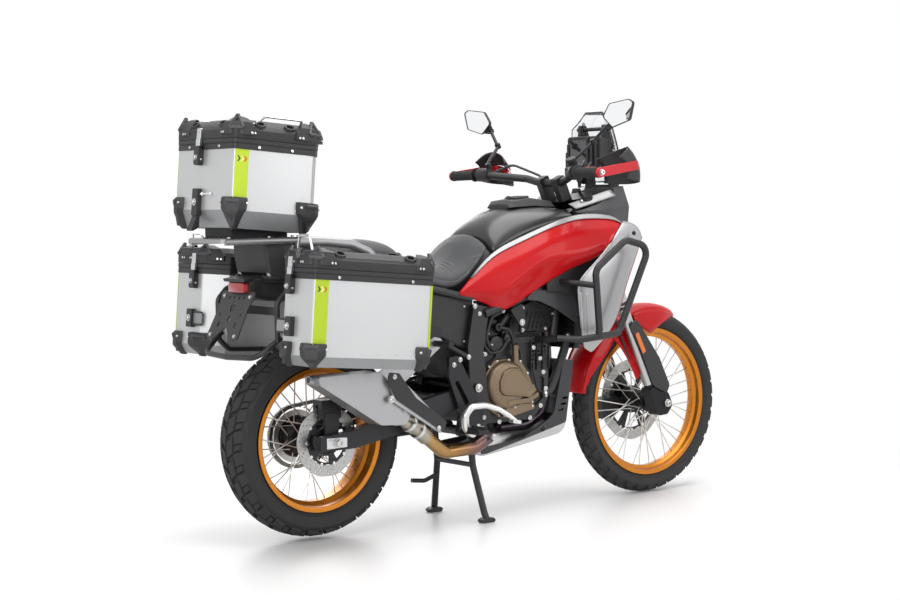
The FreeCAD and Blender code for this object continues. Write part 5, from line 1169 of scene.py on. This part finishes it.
# mirrors: a hexagonal shell, the glass set in its rim, on a jointed stem
shells, glass, stems = Form(), Form(), Form()
outline = rounded([(-80, 36, 10), (-60, -28, 16), (30, -50, 12), (82, -10, 12), (44, 36, 14),
                   (-56, 47, 8)], 4)
for side in BOTH:
    centre = on_bar(78, side * 400, 226)

    def on_mirror(inwards, up, depth):
        return centre + Vector((depth, -side * inwards, up)) / 1000

    def facing(*rows):
        return [[on_mirror(p.x * share, p.y * share, depth) for p in outline] for share, depth in rows]

    shells.rings(facing((.5, 16), (.8, 11), (.96, 3), (1, -5), (1, -9), (.955, -9.5), (.945, -7)))
    shells.rings([[on_mirror(a, b, depth) for a, b in ring_points(radius, 16, (inwards, drop))]
                  for depth, inwards, drop, radius in
                  ((4, 30, -16, 30), (12, 40, -24, 24), (16, 52, -34, 15), (15, 64, -42, 9))])
    glass.rings(facing((.947, -6), (.947, -8), (.93, -8.6)))
    stem = [on_bar(ahead, side * y, up) for ahead, y, up in
            ((-70, 236, 86), (-60, 244, 112), (26, 268, 140), (66, 330, 186))]
    stems.pipe(fillet(stem + [on_mirror(52, -34, 14)], .02), .0062, 14)
    for spot in (on_bar(-66, side * 240, 102), on_bar(30, side * 272, 142)):
        stems.turned([(-11, 7), (-9, 11), (9, 11), (11, 7)], spot, FORK_BACK, 20)
    stems.turned([(-9, 5), (-6, 10), (0, 12), (6, 10), (9, 5)], on_mirror(58, -38, 14), ASIDE, 20)
piece = shells.piece("mirror_shells", black_plastic, "steering", sharp=50)
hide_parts("mirrors")
glass.piece("mirror_glasses", mirror_glass, "steering")
stems.piece("mirror_stems", black_alloy, "steering")
bits.piece("steering_screws", steel, "steering")


# ------------------------------------------------------------ screen, headlight and dash
# A clear polycarbonate screen on two black struts, and a hooded dash behind it.
# The lamp below has a clear lens over a dark housing.

clear = Look("clear_screen", "clear", (.93, .95, .96), .04, transmission_weight=.96, ior=1.45)
clear.set("Roughness", clear.noise(40.0) * .02 + .02)
lens = Look("lamp_lens", "clear", (.9, .93, .95), .06, coat_weight=1.0, transmission_weight=.5)
ripple = lens.noise(60.0)
lens.set("Roughness", ripple * .1 + .02)
lens.set("Base Color", lens.mix(ripple, (.5, .53, .56), (.85, .88, .9)))
dress(lens, "headlight")
screen_glass = Look("dash_glass", "black_plastic", (.012, .013, .016), .08, coat_weight=1.0)
screen_glass.set("Roughness", screen_glass.noise(120.0) * .04 + .05)


def upright(low, high, half_low, half_high, r_low, r_high):
    """An outline from low to high, equal on both sides of its middle."""
    return rounded([(-half_low, low, r_low), (half_low, low, r_low), (half_high, high, r_high),
                    (-half_high, high, r_high)])


edge, struts, dash, dials, fixings = (Form() for _ in range(5))
arc = [(1352, 1185, 118, 30), (1335, 1254, 124, 32), (1318, 1320, 128, 34), (1304, 1384, 114, 30),
       (1290, 1446, 96, 26)]
columns = []
for k in range(-8, 9):
    share, top = k / 8, 1447 - 62 * max(0, abs(k / 8) - .5) / .5
    column = []
    for row in range(9):
        z = 1186 + (top - 1186) * row / 8
        below, above = next((a, b) for a, b in zip(arc, arc[1:]) if z <= b[1] + 2)
        t = (z - below[1]) / (above[1] - below[1])
        x, half, bow = (below[i] + (above[i] - below[i]) * t for i in (0, 2, 3))
        column.append((x - 2 - bow * share * share, half * share, z))
    columns.append(column)
piece = skin(columns, "screen", clear, thick=3, subdivide=1, both=False)
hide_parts("windscreen")
rim = columns[0] + [column[-1] for column in columns[1:-1]] + list(reversed(columns[-1]))
edge.pipe([at(*spot) for spot in rim], .0021, 8)
struts.plate(rounded([(1302, 1172, 6), (1340, 1172, 6), (1322, 1330, 12), (1294, 1400, 8), (1266, 1400, 8),
                      (1258, 1290, 20)]), 57, 73)
struts.plate(rounded([(1262, 1188, 10), (1302, 1178, 8), (1300, 1250, 16), (1262, 1300, 8)]), 74, 82)
fixings.bolts(((1294, 1384), (1312, 1300), (1322, 1196)), 74, 5, 7)
fixings.bolts([(1280, 1280)], 83, 5, 7)
for side in BOTH:
    for x, z in ((1312, 1320), (1298, 1404)):
        fixings.bolt(at(x, side * 76, z), ALONG, 6, 9)
for y in (-66, 64):
    struts.slab(rounded([(1262, 1336, 4), (1290, 1336, 4), (1290, 1392, 6), (1274, 1392, 6)]),
                beside(y - 11), beside(y + 11))
dash.rings([[at(x, y, z) for y, z in upright(low, high, 88, 94, 10, 14)]
            for x, low, high in ((1270, 1252, 1340), (1250, 1242, 1352), (1236, 1238, 1358),
                                 (1230, 1242, 1356))])
for middle, low, high, back in ((-72, 1246, 1352, 1222), (-52, 1250, 1356, 1218), (-24, 1248, 1354, 1222),
                                (86, 1240, 1330, 1224), (98, 1240, 1300, 1228)):
    dash.rings([[at(x, middle + y, z) for y, z in upright(low, high, 7, 5, 3, 4)] for x in (1262, back)])
dials.rings([[at(x, y, z) for y, z in upright(1252, 1344, 78, 82, 8, 10)] for x in (1231, 1229)])
edge.piece("screen_edge", black_plastic)
struts.piece("screen_struts", black_plastic, bevel=2)
dash.piece("dash_housing", black_plastic, bevel=2)
dials.piece("dash_screen", screen_glass)
fixings.piece("screen_screws", steel)

strip = [[(1052 + 196 * t, -116 - 4 * t, 1108 + 50 * t), (1056 + 196 * t, -124 - 5 * t, 1104 + 49 * t),
          (1062 + 194 * t, -146 + t, 1090 + 46 * t)] for t in (0, .3, .7, 1)]
skin(strip, "fairing_strips", silver_paint, thick=2.0)


# ------------------------------------------------------------ subframe covers and tail
# Black moulded covers fill the triangles of the subframe. The rack and its grab rails are cast
# alloy, painted silver grey, and the tail lamp has a dark red lens.

rack_silver = Look("rack_silver", "silver_alloy", (.36, .36, .37), .42, .75).worn(.08, 1200, .00012, .12)
x, y, z = rack_silver.axes()
RACK_TOP = 1.0192
rack_silver.set("Base Color", rack_silver.mix(z > RACK_TOP, (.34, .34, .35), (.018, .018, .02)))
dress(rack_silver, "rear_rack")
covers, screws = Form(), Form()
for rows in ([(584, 596, 8), (590, 740, 10), (586, 782, 8), (340, 828, 14), (330, 716, 14)],
             [(322, 716, 10), (326, 826, 14), (110, 858, 12), (84, 846, 12)],
             [(600, 700, 10), (650, 742, 14), (720, 780, 14), (820, 840, 20), (640, 800, 20)]):
    middle = sum((Vector(row[:2]) for row in rows), Vector((0, 0))) / len(rows)
    raised = [(*middle.lerp(Vector((x, z)), .94), radius) for x, z, radius in rows]
    covers.plate(rounded(rows), 136, 141).plate(rounded(raised), 140, 143.5)
screws.bolts(((545, 640), (548, 762), (352, 812), (345, 726), (130, 848)), 143, 4)
covers.piece("side_covers", black_plastic, bevel=1.5)

airbox = lofted([(350, (0, 742), (84, 736), (96, 700), (92, 610), (0, 600)),
                 (372, (0, 760), (92, 752), (104, 700), (98, 560), (0, 552)),
                 (470, (0, 760), (92, 752), (104, 700), (98, 520), (0, 512)),
                 (560, (0, 740), (88, 732), (98, 690), (94, 512), (0, 504))])
airbox.piece("airbox", black_plastic, bevel=6)
lamp_red = Look("tail_lamp_red", "lamp_red", (.3, .004, .012), .12, coat_weight=1.0, coat_roughness=.03)
prisms = lamp_red.cells(150.0)
lamp_red.set("Base Color", lamp_red.mix((prisms * 7.0).clamp(), (.55, .02, .03), (.26, .003, .01)))
lamp_red.bump(prisms, .0006)
lamp = Form().rings([[at(x, y, z) for y, z in about(Vector((0, 857)), upright(840, 874, 50, 50, 8, 8), share)]
                     for x, share in ((-258, 1), (-272, 1), (-278, .96), (-281, .86))])
piece = lamp.piece("tail_lens", lamp_red, sharp=40)
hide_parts("tail_light")
hood = Form().rings([[at(x, y, z) for y, z in upright(low, high, 62, 70, 6, 8)]
                     for x, low, high in ((-286, 876, 886), (-240, 874, 892), (-150, 876, 896))])
hood.rings([[at(x, y, z) for y, z in upright(low, high, 66, 76, 10, 10)]
            for x, low, high in ((-254, 826, 888), (-200, 812, 896), (-120, 808, 896))])
hood.rings([[at(x, y, z) for x, y in rounded([(back, -out + 22, 16), (back, out - 22, 16),
                                              (back + 60, out, 20), (-66, out + 6, 14), (-66, -out - 6, 14),
                                              (back + 60, -out, 20)])]
            for z, back, out in ((1003, -228, 122), (960, -226, 124), (905, -214, 124), (872, -176, 118))])
hood.piece("tail_housing", black_plastic, bevel=2)
rails = Form()
for side in BOTH:
    path = fillet([at(x, side * y, z) for x, y, z in ((-130, 136, 1003), (-20, 143, 1001), (80, 149, 990),
                                                      (150, 152, 962), (186, 152, 916), (190, 148, 888))],
                  .06, 10)
    rings = []
    for i, p in enumerate(path):
        up = run_of(path, i).cross(ASIDE).normalized()
        rings.append([p + (up * a + ASIDE * side * b) / 1000 for a, b in
                      ((-15, -5), (-13, 5), (-6, 9), (6, 9), (13, 5), (15, -5), (8, -9), (-8, -9))])
    rails.rings(rings)
rails.piece("grab_rails", rack_silver, sharp=50)
# the number plate's bracket is one lasered sheet that leans back under the lamp; it stays empty
lean, foot = math.radians(26), at(-262, 0, 845)
back_face = Vector((-math.cos(lean), 0, math.sin(lean)))
up_face = Vector((math.sin(lean), 0, math.cos(lean)))
for y, up in ((80, -20), (-80, -20), (76, -158), (-76, -158)):
    screws.bolt(foot + (up_face * up + ASIDE * y + back_face * 2) / 1000, back_face, 5, 7)
sheet = [rounded([(-108, 0, 18), (108, 0, 18), (92, -60, 20), (98, -168, 8), (62, -176, 8), (0, -128, 12),
                  (-62, -176, 8), (-98, -168, 8), (-92, -60, 20)])]
for a, b, wide, tall in ((2, -56, 15, 19), (-4, -98, 12, 13), (-44, -24, 5, 5), (-16, -24, 5, 5),
                         (16, -24, 5, 5), (44, -24, 5, 5), (64, -84, 5, 5), (-64, -84, 5, 5),
                         (52, -120, 6, 9), (-52, -120, 6, 9)):
    sheet.append([(a + wide * c, b + tall * s) for c, s in ring_points(1, 28)])
face_turn = Matrix((ASIDE, up_face, -back_face)).transposed().to_4x4()
piece = cut_sheet("bracket_sheet", sheet, 4, Matrix.Translation(foot) @ face_turn, black_steel)
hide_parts("plate_bracket")
for x, y in ((-105, 111), (-205, 90), (-350, 84), (-110, 84)):
    for side in BOTH:
        screws.bolt(at(x, side * y, 1018), ABOVE, 6, 9)
screws.bolts([(-40, 892)], 125, 6, 9)
screws.bolts([(150, 940)], 157, 6, 9)
screws.piece("tail_screws", steel)


# ------------------------------------------------------------ hard cases
# Folded aluminium boxes with a satin lower edge. A black plastic band is riveted round the rim,
# the lids and their corner caps are moulded, and bumpers are bolted over the lower corners.

def outwards(rows, point, run):
    """The level way that points out of a convex outline, across one of its edges."""
    middle = sum((Vector(row[:2]) for row in rows), Vector((0, 0))) / len(rows)
    way = Vector((-run.y, run.x)).normalized()
    return way if way.dot(middle - point) < 0 else -way


def offset(rows, distance):
    """A convex outline grown by a distance, or shrunk by a negative one."""
    points = [Vector(row[:2]) for row in rows]
    moved = []
    for i, point in enumerate(points):
        a, b = (outwards(rows, point, run)
                for run in (point - points[i - 1], points[(i + 1) % len(points)] - point))
        shift = (a + b) * (distance / (1 + a.dot(b)))
        moved.append((point.x + shift.x, point.y + shift.y, max(rows[i][2] + distance, 0.6)))
    return moved


def mm(x, y, z):
    return Vector((x, y, z)) / 1000


def levels(rows, heights):
    """Rings of one outline at rows of height and growth."""
    return [[mm(p.x, p.y, z) for p in rounded(offset(rows, grow), 4)] for z, grow in heights]


brushed = Look("brushed_case_alloy", "silver_alloy", (.56, .565, .57), .4, .6)
brushed.worn(.03, 500, .00002, .1, (1, 1, 14))
satin_edge = Look("satin_case_edge", "silver_alloy", (.3, .305, .31), .45, .6)
satin_edge.worn(.06, 500, .00002, .1, (1, 1, 14))
chrome = Look("chrome_wire", "steel", (.78, .78, .79), .12, 1.0).worn(.03, 300, .00001, .05)
lime = Look("lime_tape", "silver_plastic", (.5, .66, .01), .35)
beads = lime.cells(260.0)
lime.set("Base Color", lime.mix((beads * 9.0).clamp(), (.36, .52, .005), (.53, .7, .012)))
lime.bump(beads, .0002)
chevron_looks = [Look(name, "black_plastic", colour, .4).worn(.05) for name, colour in
                 (("chevron_black", (.02, .02, .02)), ("chevron_pale", (.85, .8, .3)),
                  ("chevron_red", (.7, .04, .02)))]


def corner_guard(form, rows, i, steps):
    """A moulded guard round corner i. Rows: height, reach along the walls, flat, outwards, growth."""
    rings = []
    for z, reach, flat, out, grow in steps:
        points = [Vector(p[:2]) for p in offset(rows, grow)]
        far, back = (Vector(offset(rows, grow + by)[i][:2]) for by in (out, -1.5))
        to_a, to_b = ((points[k] - points[i]).normalized() for k in (i - 1, (i + 1) % len(points)))
        ring = [far + to_a * reach, far + to_a * flat, far + to_b * flat, far + to_b * reach,
                back + to_b * reach, back, back + to_a * reach]
        rings.append([mm(p.x, p.y, z) for p in ring])
    form.rings(rings)
    return rings


CAP_BAR, BUMPER_BAR = .0062, .006


def triangle_frame(form, a, b, c, radius):
    for start, stop in ((a, b), (b, c), (c, a)):
        form.pipe([start, stop], radius, 6)


def hard_case(name, lid_body, rows, seat, bend, height, lid_height, corners, tapes, latches, handles,
              clamps, rivets):
    """One case: its shell, base edge, rim band, lid, and the parts fixed to them.

    `rows` is the outline from above. Tapes: x from and to, y, z from and to, and whether chevrons mark
    it. Latches: y and reach. Handles: start, stop and rise. Clamps: y, low, high and reach inwards.
    """
    taper, rim, gap = 26, 30, height + 0.6

    def add(form, part, look, body="chassis", **how):
        return form.moved(seat).piece(f"{name}_{part}", look, body, **how)

    shell = add(Form().rings(levels(rows, [(bend, 0), (height - 4, 0), (height - 4, -3), (bend, -3),
                                           (6, -3 - taper)])), "shell", brushed, bevel=0.5)
    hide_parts(name)
    add(Form().rings(levels(rows, [(0, -taper), (bend, 0.5), (bend + 1, 0.5), (bend + 1, -1.5),
                                   (1.6, -taper - 1.5)])), "lower_edge", satin_edge, bevel=0.8)
    band = Form().rings(levels(rows, [(height - 34, 1), (height - 33, 4), (height - 17, 4),
                                      (height - 16, 2.8), (height - 14.5, 2.8), (height - 13.5, 5),
                                      (height - 1, 5), (height, 3.5), (height, -4), (height - 12, -4)]),
                        caps=False)
    add(band, "rim_band", black_plastic)
    top = gap + lid_height
    lid = Form().rings(levels(rows, [(gap, 2), (gap, 5), (gap + 5, 6), (gap + rim - 2, 6), (gap + rim, 4),
                                     (gap + rim + 8, 0), (top - 3, -24), (top, -30), (top + 1.5, -60)]))
    lid.rings(levels(rows, [(gap + .2, 2), (gap + rim, 0), (top - 5, -27), (top - 4, -60)]))
    cover = add(lid, "lid_shell", black_plastic, lid_body, bevel=1.0)
    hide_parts(lid_body)

    caps, frames, tops, bumpers, screws, lid_screws = (Form() for _ in range(6))
    for i in corners:
        rings = corner_guard(caps, rows, i, [(gap + 10, 80, 33, 13, 0), (gap + rim, 80, 33, 13, 0),
                                             (gap + rim + 22, 60, 22, 13, -7), (top + 3, 34, 3, 11, -24),
                                             (top + 9, 12, 1, 4, -36)])
        peak = (rings[3][1] + rings[3][2]) / 2 + mm(0, 0, 9)
        triangle_frame(tops, rings[1][1].lerp(peak, .06), rings[1][2].lerp(peak, .06), peak, CAP_BAR)
        rings = corner_guard(bumpers, rows, i, [(bend + 42, 56, 30, 12, 0), (bend + 36, 58, 32, 15, 0),
                                                (bend + 4, 56, 32, 16, 0), (bend - 8, 44, 25, 15, -2),
                                                (6, 18, 3, 12, -taper * .8), (-5, 12, 2, 9, -taper)])
        triangle_frame(frames, rings[1][1] - ABOVE * .006, rings[1][2] - ABOVE * .006,
                       (rings[4][1] + rings[4][2]) / 2, BUMPER_BAR)
        corner = Vector(rows[i][:2])
        for other in (rows[i - 1], rows[(i + 1) % len(rows)]):
            edge = Vector(other[:2]) - corner
            run, out = edge.normalized(), outwards(rows, corner, edge)
            way = out.to_3d()
            for along, z, grow, form, size in ((46, bend + 24, 15.5, screws, 4.2),
                                               (52, gap + 18, 13, lid_screws, 4),
                                               (64, gap + 18, 13, lid_screws, 3.4),
                                               (86, height - 25, 4.5, screws, 5)):
                if along < 70 or edge.length > 2.2 * along:
                    form.bolt(mm(*(corner + run * along + out * grow), z), way, size)
            if edge.length > 200:
                # an eyelet for a strap, moulded on the long walls' caps
                spot = corner + run * 92 - out * 8
                oval = [mm(*(spot + run * a - out * b), gap + rim + 14 + b)
                        for a, b in ((22 * c, 9 * s) for c, s in ring_points(1, 20))]
                centre, lift = sum(oval, Vector()) / 20, way * .004 + ABOVE * .007
                caps.rings([oval] + [[centre.lerp(p, share) + shift for p in oval] for share, shift in
                                     ((.97, lift), (.62, lift), (.55, way * -.002))])
    add(caps, "lid_caps", black_plastic, lid_body, bevel=1.2)
    for x, y, z in rivets:
        screws.bolt(mm(x, y, z), Vector((0, math.copysign(1, y), 0)), 2.4)

    tape, marks = Form(), [Form(), Form(), Form()]
    for x_from, x_to, y, z_from, z_to, marked in tapes:
        side = math.copysign(1, y)
        outline = [(x_from, z_from), (x_to, z_from), (x_to, z_to), (x_from, z_to)]
        tape.rings([[mm(x, y + out, z) for x, z in outline] for out in (-side, side * .5)])
        for k in range(3 if marked else 0):
            x, z, w = (x_from + x_to) / 2 - 17 + k * 12, z_to - 30, 9
            arrow = [(x, z + w), (x + 5, z + w), (x + 12, z), (x + 5, z - w), (x, z - w), (x + 6, z)]
            marks[k].rings([[mm(a, y + out, b) for a, b in arrow] for out in (0, side * .9)])
    add(tape, "tape", lime)
    for mark, look, word in zip(marks, chevron_looks, ("first", "second", "third")):
        add(mark, f"chevron_{word}", look)

    def on_end(form, outline, y, x_near, x_far):
        """An outline in y and z, standing off the case's end wall."""
        form.rings([[mm(x, y + a, b) for a, b in rounded(outline)] for x in (x_near, x_far)])

    plates, housings = Form(), Form()
    for y, reach in latches:
        for top_z, low_z, half, radius, x_far in ((gap + 34, gap, 11, 3, -14),
                                                  (height - 24, gap, 12, 3, -16)):
            on_end(plates, [(-half, top_z, radius), (half, top_z, radius), (13, low_z, 2), (-13, low_z, 2)],
                   y, -6, x_far)
        for start, stop, x_far in ((height - 22, height - 22 - reach, -20), (height - 12, height - 40, -12)):
            on_end(housings, [(-16, start, 3), (16, start, 3), (16, stop + 6, 6), (11, stop, 6),
                              (-11, stop, 6), (-16, stop + 6, 6)], y, 1, x_far)
        screws.bolt(mm(-20, y, height - 22 - reach * .6), -ALONG, 7, 9)
        screws.bolt(mm(-12, y - 19, height - 22 - reach * .7), -ALONG, 3.4)
        lid_screws.bolt(mm(-14, y, gap + 22), -ALONG, 3.4)
    add(plates, "latch_plates", milled, bevel=1)
    add(housings, "latch_housings", black_plastic, bevel=1.5)
    wires = Form()
    for start, stop, rise in handles:
        start, stop, rise = mm(*start), mm(*stop), mm(*rise)
        along = (stop - start).normalized() * .014
        wires.pipe(fillet([start, start + rise + along, stop + rise - along, stop], .012), .0046, 10)
        for foot in (start, stop):
            wires.turned([(-4, 7), (3, 7), (5, 4)], foot, rise.normalized(), 12)
    add(wires, "handle", chrome, lid_body)
    add(bumpers, "bumpers", black_plastic, bevel=1.5)
    # the corner guards' frames are grey plastic, lighter than the black bumpers and caps: partly the guards'
    # own grey, partly a painted highlight for frame edges that catch the light
    add(frames, "guard_frames_grey_and_painted_highlight", grey_plastic)
    add(tops, "cap_frames_grey_and_painted_highlight", grey_plastic, lid_body)
    blocks, stays, pins = Form(), Form(), Form()
    for y, low, high, inner in clamps:
        on_end(blocks, [(-17, low, 4), (17, low, 4), (17, high, 6), (-17, high, 6)], y, 1, -17)
        screws.bolt(mm(-17, y, (low + high) / 2), -ALONG, 8, 12)
        if inner:
            near, far = (-math.copysign(reach, y) for reach in (17, inner))
            on_end(stays, [(near, low + 8, 4), (near, high - 8, 4), (far, high - 8, 6), (far, low + 8, 6)],
                   y, -4, -9)
            for z in (low + 10, high - 10):
                blocks.pipe([mm(-10, y + near, z), mm(-10, y + far, z)], .0035, 8)
        else:
            hook = rounded([(low + 4, 2, 2), (-2, 2, 2), (-14, 24, 3), (-14, 32, 3), (low + 4, 12, 2)])
            blocks.rings([[mm(-out, y + wide, z) for z, out in hook] for wide in (-15, 15)])
            pins.pipe([mm(-7, y - 17, high - 18), mm(-7, y - 84, high - 18)], .003, 10)
            for k in (30, 84):
                pins.turned([(-4, 3), (-2, 6), (2, 6), (4, 3)], mm(-7, y - k, high - 18), ASIDE, 12)
    add(blocks, "clamps", black_plastic, bevel=1.2)
    if stays.points:
        add(stays, "clamp_plates", satin_edge, bevel=.6)
    if pins.points:
        add(pins, "clamp_pin", chrome)
    add(screws, "screws", steel)
    add(lid_screws, "lid_screws", steel, lid_body)


def case_seat(x, z):
    """Where a case's lower rear edge stands; all three lean forward a little."""
    return Matrix.Translation(at(x, 0, z)) @ Matrix.Rotation(math.radians(5), 4, "Y")


near, far, length, height, bend = 200, 432, 455, 308, 33
for word, side in (("left", 1), ("right", -1)):
    rows = [(a, side * b, r) for a, b, r in ((0, near + 64, 10), (0, far, 14), (length, far, 14),
                                             (length, near + 40, 10), (length - 40, near, 10),
                                             (70, near, 10))]
    wall = side * far
    hard_case("pannier_" + word, "pannier_lid_" + word, rows, case_seat(-275, 622), bend, height,
              lid_height=55, corners=(0, 1, 2, 3),
              tapes=[(3, 53, wall, bend + 30, height - 34, True),
                     (length - 9, length - 1, wall, bend + 2, height - 34, False)],
              latches=[(side * (near + 104), 62)],
              handles=[((20, side * (near + 94), height + 52), (20, side * (far - 52), height + 52),
                        (-6, 0, 50))],
              clamps=[(side * (near + 112), 92, 154, 74)],
              rivets=[(x, wall, bend + 14) for x in (118, 186, 254, 322, 390)])
half, length, height, bend = 180, 325, 283, 55
rows = [(0, -half, 12), (0, half, 12), (length - 30, half, 12), (length, half - 30, 10),
        (length, -half + 30, 10), (length - 30, -half, 12)]
hard_case("top_case", "top_case_lid", rows, case_seat(-400, 1057), bend, height,
          lid_height=62, corners=(0, 1, 2, 5),
          tapes=[(3, 53, side * half, bend + 34, height - 34, True) for side in (-1, 1)],
          latches=[(28, 62)],
          handles=[((78, side * (half - 14), height + 48), (244, side * (half - 14), height + 48),
                    (0, side * 34, 26)) for side in (-1, 1)],
          clamps=[(28, 36, 124, 0)],
          rivets=[(x, side * half, bend + 12) for x in (118, 176, 234) for side in (-1, 1)])


# ------------------------------------------------------------ studio
# A pale sweep of floor with a faint shine, lit from above and from the camera's left.

def area_lamp(name, place, aim, size, power):
    data = bpy.data.lights.new(name, "AREA")
    data.shape, data.size, data.size_y, data.energy = "RECTANGLE", size[0], size[1], power
    lamp = bpy.data.objects.new(name, data)
    lamp.location = place
    lamp.rotation_euler = (Vector(aim) - Vector(place)).to_track_quat("-Z", "Y").to_euler()
    bpy.context.scene.collection.objects.link(lamp)


area_lamp("top_light", (0.2, -0.4, 4.2), (0, 0, 0.6), (4.5, 3.0), 150)
area_lamp("left_light", (-4.2, -2.4, 2.4), (0, 0, 0.7), (2.4, 2.4), 75)
area_lamp("right_light", (2.6, -4.6, 2.2), (0.3, 0, 0.6), (2.2, 2.2), 48)
area_lamp("far_light", (1.5, 4.5, 2.6), (0, 0, 0.7), (3.5, 2.0), 60)

floor = bpy.data.meshes.new("floor")
floor.from_pydata([(-30, -30, 0), (30, -30, 0), (30, 30, 0), (-30, 30, 0)], [], [(0, 1, 2, 3)])
paint = Look("floor_paint", "", (.93, .93, .93), .4)
x, y, z = paint.axes()
CLEAR_FLOOR, FADE = 1.0, 1.1
near = (1.0 - ((x * x + y * y) ** 0.5 - CLEAR_FLOOR) / FADE).clamp()
white = paint.node("Emission", {}, {"Color": (1, 1, 1), "Strength": 1.0})
paint.finish("Material Output", paint.node("MixShader", {}, {
    0: (1.0 - near) * paint.rays("Camera", "Glossy"), 1: Wire(paint, paint.shader.outputs[0]), 2: white}))
floor.materials.append(paint.material)
floor_piece = bpy.data.objects.new("floor", floor)
bpy.context.scene.collection.objects.link(floor_piece)

world = bpy.data.worlds.new("studio")
bpy.context.scene.world = world
world.use_nodes = True
world.node_tree.nodes.remove(world.node_tree.nodes["Background"])
sky = Nodes(world.node_tree)
soft, plain = (sky.node("Background", {}, {"Color": (1, 1, 1), "Strength": strength})
               for strength in (.45, 1.0))
sky.finish("World Output", sky.node("MixShader", {}, {
    0: sky.rays("Camera", "Transmission", "Glossy"), 1: soft, 2: plain}))
bpy.context.scene.view_settings.view_transform = "Standard"
